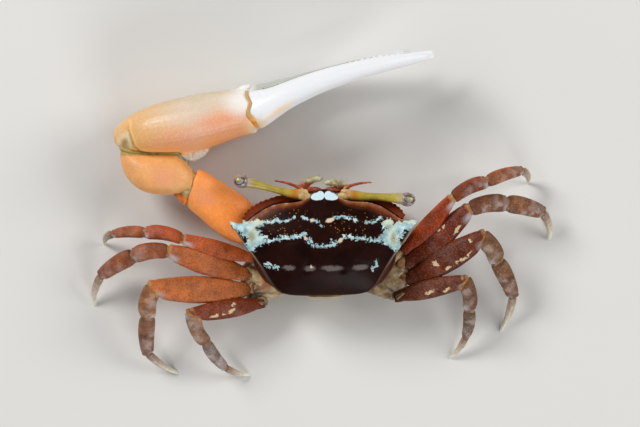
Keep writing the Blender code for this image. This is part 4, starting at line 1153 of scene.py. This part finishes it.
# The fold where the heel's shell tucks in under the rim of the hand.
HEEL_FOLD = (
    (-31.5, 15.0), (-31.5, 13.8), (-31.0, 12.45), (-30.56, 11.1), (-29.5, 10.2), (-28.1, 9.92), (-23.5, 9.98),
)
hand_shell, add, finish = new_material(
    "pale_grained_shell",
    Roughness=0.38,
    IOR=1.52,
    Specular_IOR_Level=0.4,
    Subsurface_Weight=0.1,
    Subsurface_Scale=0.0012,
)
place = add("TexCoord")
flat_hand = add("VectorMath", place, (1.0, 1.0, 0.0), operation="MULTIPLY")
across, finger, crest, fold, lip, fixed_finger_shade, seam_shade = (
    add("Attribute", attribute_name=name)
    for name in ("across", "finger", "crest", "fold", "lip", "lower", "shade")
)
cloud = add("TexNoise", place, Scale=240.0, Detail=6.0, Roughness=0.62)
wander = add("MapRange", cloud, 0.3, 0.7, -0.07, 0.07)
level = add("Math", across, wander, operation="ADD")
tone = add(
    "ValToRGB",
    level,
    stops=(
        (0.02, "#F8A24C"), (0.14, "#F2AE74"), (0.38, "#EABC94"), (0.62, "#E2C8B0"), (0.85, "#DCC8B0"),
        (1.0, "#D2BA94"),
    ),
)
layers = [
    (add("MapRange", mask, 0.0, 0.9, 0.0, strength, interpolation_type="SMOOTHSTEP"), colour)
    for mask, colour, strength in (
        (add("MapRange", add("SeparateXYZ", place), -0.021, -0.033), "#E8AE62", 0.9),
        (blotches(add, flat_hand, SALMON_MARKS), "#F0986C", 0.7),
        (blotches(add, flat_hand, HINGE_WHITE), "#F6F2EC", 0.95),
        (finger, "#EEF0F3", 1.0),
        # Painted shade: the fixed finger greyed where it lies under the movable one's edge.
        (fixed_finger_shade, "#B8BAAE", 0.95),
        (seam_shade, "#85857C", 0.85),
        (blotches(add, flat_hand, FINGER_FLUSH), "#FAD6A2", 0.8),
        (crest, "#D2C8B6", 1.0),
        (lip, "#FAC070", 0.85),
        (blotches(add, flat_hand, HEEL_PALE), "#E2D6B4", 0.8),
        (blotches(add, flat_hand, HEEL_PIT), "#96875A", 0.9),
        # The fold's olive, partly the skin's own colour and partly painted shade in its groove.
        (fold, "#A88A4A", 0.7),
    )
]
cells = add("TexVoronoi", place, Scale=2300.0)
layers.append((add("MapRange", cells, 0.5, 0.1, 0.0, 0.16), "#FFF4EA"))
finish(tone, *layers, height=cells, strength=0.28, deep=0.1, invert=True)


def edge_balls(piece, first, last, count, radius):
    """Blunt grains along the front edge of a piece, from one x to another, as (x, y, z, radius)."""
    points, _ = points_of(piece)
    balls = []
    for x in np.linspace(first, last, count):
        near = points[np.abs(points[:, 0] - x) < 0.7]
        edge = near[near[:, 1].argmax()]
        balls.append((x, edge[1], edge[2], radius * draw.uniform(0.8, 1.2)))
    return balls


def end_tints(run, start, end):
    """The tints of a piece that runs from one colour at its start to another at its end."""
    run = run.astype(np.float32)
    return (np.outer(1 - run, linear(start)) + np.outer(run, linear(end))).astype(np.float32)


# Where each arm joint runs from, and the balls that fill out its corners: (x, y, z, radius).
ARM_FROM = {"ischium": (0.0, 0.0, 5.0), "merus": (0.0, 0.0, 5.0), "carpus": (-20.0, 0.0, 6.0)}
ARM_CORNERS = {
    "ischium": (),
    "merus": ((-19.5, 6.3, 8.0, 0.8),),
    "carpus": (
        (-22.5, 4.8, 8.3, 1.25), (-22.0, 6.3, 8.2, 1.0), (-23.7, 9.55, 8.6, 0.36),
        (-23.35, 9.2, 8.6, 0.34), (-23.0, 8.85, 8.6, 0.34), (-22.65, 8.45, 8.6, 0.34),
        (-22.3, 8.05, 8.6, 0.32), (-21.95, 7.65, 8.6, 0.32), (-21.65, 7.2, 8.6, 0.3),
    ),
}
for joint, corners in ARM_CORNERS.items():
    piece = copied("great_claw_" + joint, f"great_claw_{joint}_shell")
    rounded(piece, 2)
    points, _ = points_of(piece)
    if joint == "carpus":
        # The rim at the wrist reaches under the hand's edge, and the elbow's nearly to the next joint.
        to_wrist = held((points[:, 1] - 7.5) / 2.0)
        points[:, 1] += 0.55 * to_wrist * held((10.8 - points[:, 2]) / 1.5)
        to_elbow = held((points[:, 0] + 26.0) / 3.5) ** 2
        points[:, 0] += to_elbow * np.interp(points[:, 1], (3.4, 5.0, 7.5, 9.0), (1.0, 0.9, 0.3, 0.0))
    elif joint == "merus":
        # Its inner end reaches under the shell's corner, its outer end nearly to the joint before.
        middle, away = long_axis(piece, ARM_FROM[joint])
        along = (points - middle) @ away
        along = (along - along.min()) / np.ptp(along)
        forward = frontward(away)
        forward /= np.linalg.norm(forward)
        across = (points - middle) @ forward
        inner = held((0.75 - along) / 0.5)
        points += np.outer(0.3 * held(across / 1.5) - 0.85 * inner * held(-across / 1.5), forward)
        points += np.outer(0.3 * held((along - 0.8) / 0.2) - 1.7 * held((0.4 - along) / 0.4), away)
        grains = edge_balls(piece, -18.6, -13.0, 15, 0.2)
        corners += tuple((x, y - 0.1, z, radius) for x, y, z, radius in grains)
    put_points(piece, points)
    swollen(piece, *corners)
    recast(piece, 0.13, 4)
    run, _ = mark_run(piece, ARM_FROM[joint])
    colours = end_tints(run, *ARM_TINTS[joint])
    if joint == "carpus":
        # Olive along the wrist's rim.
        points, _ = points_of(piece)
        olive = np.clip((points[:, 1] - 9.55) / 0.3, 0.0, 0.8)[:, None]
        colours = colours * (1 - olive) + olive * np.array(linear("#A89048"))
    store(piece, "tint", colours)
    roughened(piece, "CLOUDS", 1.6, 0.1)
    dress(piece, arm_shell, "great_arm", "great_claw_" + joint)

# The movable finger's hinge: the middle and the lean of the solids' gap, the (y, x) that its seam really
# winds along, and how far from it the shells bend.
HINGE_MIDDLE = (-11.45, 17.2)
HINGE_LEAN = -0.25
HINGE_SEAM = (
    (13.0, -10.3), (14.2, -10.41), (14.95, -11.18), (15.9, -12.05),
    (16.87, -12.24), (18.2, -11.66), (19.36, -12.2), (21.0, -12.4),
)
HINGE_REACH = 2.6


def bent_hinge(points, shut=0.0, opened=0.0):
    """Moves the places near the hinge so that the straight gap there follows the winding seam, shuts it by
    this much and opens it below."""
    plane = HINGE_MIDDLE[0] + HINGE_LEAN * (points[:, 1] - HINGE_MIDDLE[1])
    wind = np.interp(points[:, 1], *zip(*HINGE_SEAM)) - plane
    near = held(1.0 - np.abs(points[:, 0] - plane) / HINGE_REACH) ** 2
    high = held((points[:, 2] - 7.0) / 2.0)
    bent = points.copy()
    closer = np.interp(points[:, 1], (15.4, 16.6), (0.7, 1.2))
    bent[:, 0] += shut * closer * held(1.6 - np.abs(points[:, 0] - plane))
    below = opened * np.interp(points[:, 1], (14.0, 15.0, 15.8, 16.4), (0.7, 1.0, 1.0, 0.0))
    bent[:, 0] += (wind * high + below) * near
    return bent


def across_share(points):
    """How far each point lies from the rear edge of its piece, at 0, to the front edge, at 1."""
    bins = np.arange(points[:, 0].min(), points[:, 0].max() + 0.8, 0.8)
    which = np.digitize(points[:, 0], bins)
    columns = [points[which == k, 1] for k in range(1, len(bins) + 1)]
    kept = [len(column) > 0 for column in columns]
    middles = bins[kept] + 0.4
    rear = np.interp(points[:, 0], middles, [column.min() for column in columns if len(column)])
    front = np.interp(points[:, 0], middles, [column.max() for column in columns if len(column)])
    return held((points[:, 1] - rear) / (front - rear))


hand = copied("great_claw_palm", "great_claw_palm_shell")
rounded(hand, 1)
# The crest's blunt lobes.
swollen(
    hand,
    (-22.4, 10.2, 8.3, 0.6), (-21.7, 9.9, 8.1, 0.62), (-20.9, 9.9, 7.9, 0.62), (-20.2, 10.25, 7.6, 0.6),
    (-22.75, 9.85, 8.5, 0.34), (-22.35, 9.6, 8.4, 0.36), (-21.95, 9.3, 8.3, 0.36), (-21.5, 9.15, 8.2, 0.38),
    (-21.0, 9.2, 8.0, 0.36), (-20.55, 9.4, 7.9, 0.36), (-20.1, 9.75, 7.7, 0.34), (-19.6, 10.15, 7.5, 0.34),
    (-19.1, 10.5, 7.3, 0.32),
    *((x, y + 0.12, z, radius) for x, y, z, radius in edge_balls(hand, 12.3, 14.1, 6, 0.36)),
)
apply(hand, "REMESH", mode="VOXEL", voxel_size=0.14 * MM, use_smooth_shade=True)
points, _ = points_of(hand)
x, y, z = points.T
crest_near = (x > -23.7) & (x < -18.6) & (y < 11.0) & (z > 5.0) & (z < 10.4)
softened = hand.vertex_groups.new(name="softened")
firm = (x > -11.0) | (crest_near & (y < 10.4))
softened.add(np.flatnonzero(~firm).tolist(), 1.0, "REPLACE")
softened.add(np.flatnonzero(firm).tolist(), 0.25, "REPLACE")
apply(hand, "SMOOTH", factor=0.5, iterations=7, vertex_group="softened")
points, normals = points_of(hand)
from_fold = nearest_to(HEEL_FOLD, points[:, 0], points[:, 1])
push = hollow(from_fold, 0.24, 0.2) * held((15.0 - points[:, 1]) / 1.6)
pit_x, pit_y = HEEL_PIT[0][:2]
pit = np.hypot(points[:, 0] - pit_x, (points[:, 1] - pit_y) * 0.8)
push += hollow(pit, 0.5, 0.24)
push *= held(normals[:, 2] * 3.0)
points = bent_hinge(points + normals * push[:, None], 0.3)
points[:, 0] -= 0.25 * held((-31.8 - points[:, 0]) / 1.4)
put_points(hand, points)
past_hinge = held((points[:, 0] + 12.2) / 2.0)
store(hand, "across", across_share(points))
store(hand, "finger", past_hinge)
on_top = held(normals[:, 2] * 3.0)
# Painted shade on the top of the fixed finger, under the movable one's edge.
store(hand, "lower", past_hinge * on_top * (1 - 0.55 * held((points[:, 0] - 6.0) / 3.0)))
# The fold's olive line, partly painted shade in its groove.
store(hand, "fold", np.exp(-((from_fold / 0.2) ** 2)) * on_top * held((15.0 - points[:, 1]) / 1.6))
fold_x = np.interp(points[:, 1], (9.9, 11.1, 12.45, 13.8, 15.0), (-29.3, -30.56, -31.0, -31.5, -31.5))
inside = points[:, 0] > fold_x
store(hand, "lip", np.exp(-(((from_fold - 0.42) / 0.24) ** 2)) * inside * (points[:, 1] > 9.5))
store(hand, "crest", held((10.45 - points[:, 1] + 0.3 * (points[:, 0] + 20.5)) / 0.3) * crest_near)
hand.vertex_groups.clear()
dress(hand, hand_shell, "great_palm", "great_claw_palm")

movable = copied("great_claw_dactyl", "great_claw_dactyl_shell")
rounded(movable, 2)
# Its blunt tip, and the grains along its front edge.
shares = np.linspace(0, 1, 8)
tip_balls = zip(15.0 + 2.6 * shares, 25.62 + 0.6 * shares, 9.0 - 1.1 * shares, 0.98 - 0.22 * shares)
swollen(movable, *tip_balls, *edge_balls(movable, 4.6, 12.4, 9, 0.22))
recast(movable, 0.1, 3)
points, _ = points_of(movable)
points = bent_hinge(points, -0.3, 0.4)
put_points(movable, points)
store(movable, "across", across_share(points))
store(movable, "finger", np.ones(len(points)))
for name in ("crest", "fold", "lip", "lower", "shade"):
    store(movable, name, np.zeros(len(points)))
dress(movable, hand_shell, "great_finger", "great_claw_dactyl")

# The shaded line where the fixed finger passes under the movable one's front edge, as seen from above.
columns = np.arange(-9.0, 15.0, 0.4)
front = [points[np.abs(points[:, 0] - x) < 0.3, 1].max() for x in columns]
points, normals = points_of(hand)
past = points[:, 1] - np.interp(points[:, 0], columns, front)
shade = np.exp(-(((past - 0.08) / 0.16) ** 2))
store(hand, "shade", shade * (points[:, 0] > -9.8) * (points[:, 0] < 6.0) * (normals[:, 2] > 0.1))

# The hinge's skin: a band round the movable finger's root, wider below, which stands just proud of the rims.
hinge_skin = soft_skin("yellow_orange_joint_skin", "#EE8C28", "#FFB65C", top="#BFA066")
deselect()
bpy.ops.mesh.primitive_cylinder_add(vertices=72, radius=1.0, depth=1.0, end_fill_type="TRIFAN")
band = bpy.context.object
band.name = "great_claw_hinge_skin"
apply(band, "BEVEL", width=0.12, segments=3, limit_method="ANGLE")
raw = points_of(band)[0] * MM
turn = np.arctan2(raw[:, 1], raw[:, 0])
spread = np.hypot(raw[:, 0], raw[:, 1])
y = 17.25 + 3.02 * np.sign(np.cos(turn)) * np.abs(np.cos(turn)) ** 0.87 * spread
z = 10.75 + 3.62 * np.sign(np.sin(turn)) * np.abs(np.sin(turn)) ** 0.87 * spread
wide = np.interp(y, (13.8, 15.6, 16.6, 20.5), (2.0, 1.7, 0.66, 0.5))
x = HINGE_MIDDLE[0] + HINGE_LEAN * (y - HINGE_MIDDLE[1]) + raw[:, 2] * wide
put_points(band, bent_hinge(np.stack([x, y, z], axis=1), 0.0, 0.15))
store(band, "upper", held((y - 15.2) / 0.8) * 0.85)
edit_all(band, normals_make_consistent={"inside": False})
bpy.ops.object.shade_smooth()
dress(band, hinge_skin, "great_finger")

# The skins of the arm's joints, and the orange flap at the elbow's rear corner.
wrist_skin = soft_skin("olive_joint_skin", "#6A6640", "#A6A27A")
elbow_skin = soft_skin("olive_tan_joint_skin", "#947848", "#C8B47C")
fold_skin = soft_skin("yellow_olive_joint_skin", "#94803E", "#C4AC66")
# A fold of skin that fills the line between the hand and the joint before it.
WRIST_FOLD = ((-32.7, 10.85), (-31.2, 10.32), (-29.6, 10.12), (-27.9, 10.05), (-25.6, 10.03), (-23.6, 10.12))
wrist_fold = new_piece("great_claw_wrist_fold")
columns = np.linspace(-32.7, -23.6, 44)
heights = np.interp(columns, (-32.7, -32.0, -30.8, -23.6), (8.7, 8.95, 9.25, 9.3))
ways = np.interp(columns, *zip(*WRIST_FOLD)) + 0.06
swollen(wrist_fold, *((x, y, z, 0.38) for x, y, z in zip(columns, ways, heights)))
recast(wrist_fold, 0.1, 3)
dress(wrist_fold, fold_skin, "great_arm")
for joint, solid, other, skin, sizes in (
    ("wrist", "great_claw_carpus", "palm", wrist_skin, {"fill": 0.93, "near": 1.0, "sink": 0.7}),
    ("elbow", "great_claw_merus", "carpus", elbow_skin, {"fill": 0.8, "near": 2.2, "sink": 0.5}),
    ("knee", "great_claw_ischium", "merus", leg_skin, {}),
    ("shoulder", "thorax", "ischium", leg_skin, {}),
):
    joint_sleeve(solid, "great_claw_" + other, skin, "great_arm", name=f"great_claw_{joint}_skin", **sizes)
flap_skin = soft_skin("deep_orange_joint_skin", "#B4501A", "#E88A3A")
FLAP = ((-24.3, 3.5), (-23.0, 4.4), (-21.8, 4.1), (-21.8, 2.6), (-22.45, 1.6))
flap = hulled("great_claw_elbow_flap", [np.array((x, y, z)) for x, y in FLAP for z in (5.6, 8.9)])
recast(flap, 0.12, 6)
dress(flap, flap_skin, "great_arm")


# Small claw
# The right feeding claw: five slim joints of pale orange shell with soft skin between them. The photo
# doesn't show it; here it is folded under the front of the body.
SMALL_JOINTS = ("ischium", "merus", "carpus", "palm", "dactyl")
for joint in SMALL_JOINTS:
    piece = copied("small_claw_" + joint, f"small_claw_{joint}_shell")
    rounded(piece, 2)
    run, _ = mark_run(piece, (0.0, 0.0, 5.0))
    store(piece, "tint", end_tints(run, "#C06A34", "#DCA070"))
    dress(piece, arm_shell, "small_claw", "small_claw_" + joint)
for first, second in zip(SMALL_JOINTS, SMALL_JOINTS[1:]):
    joint_sleeve("small_claw_" + second, "small_claw_" + first, leg_skin, "small_claw")
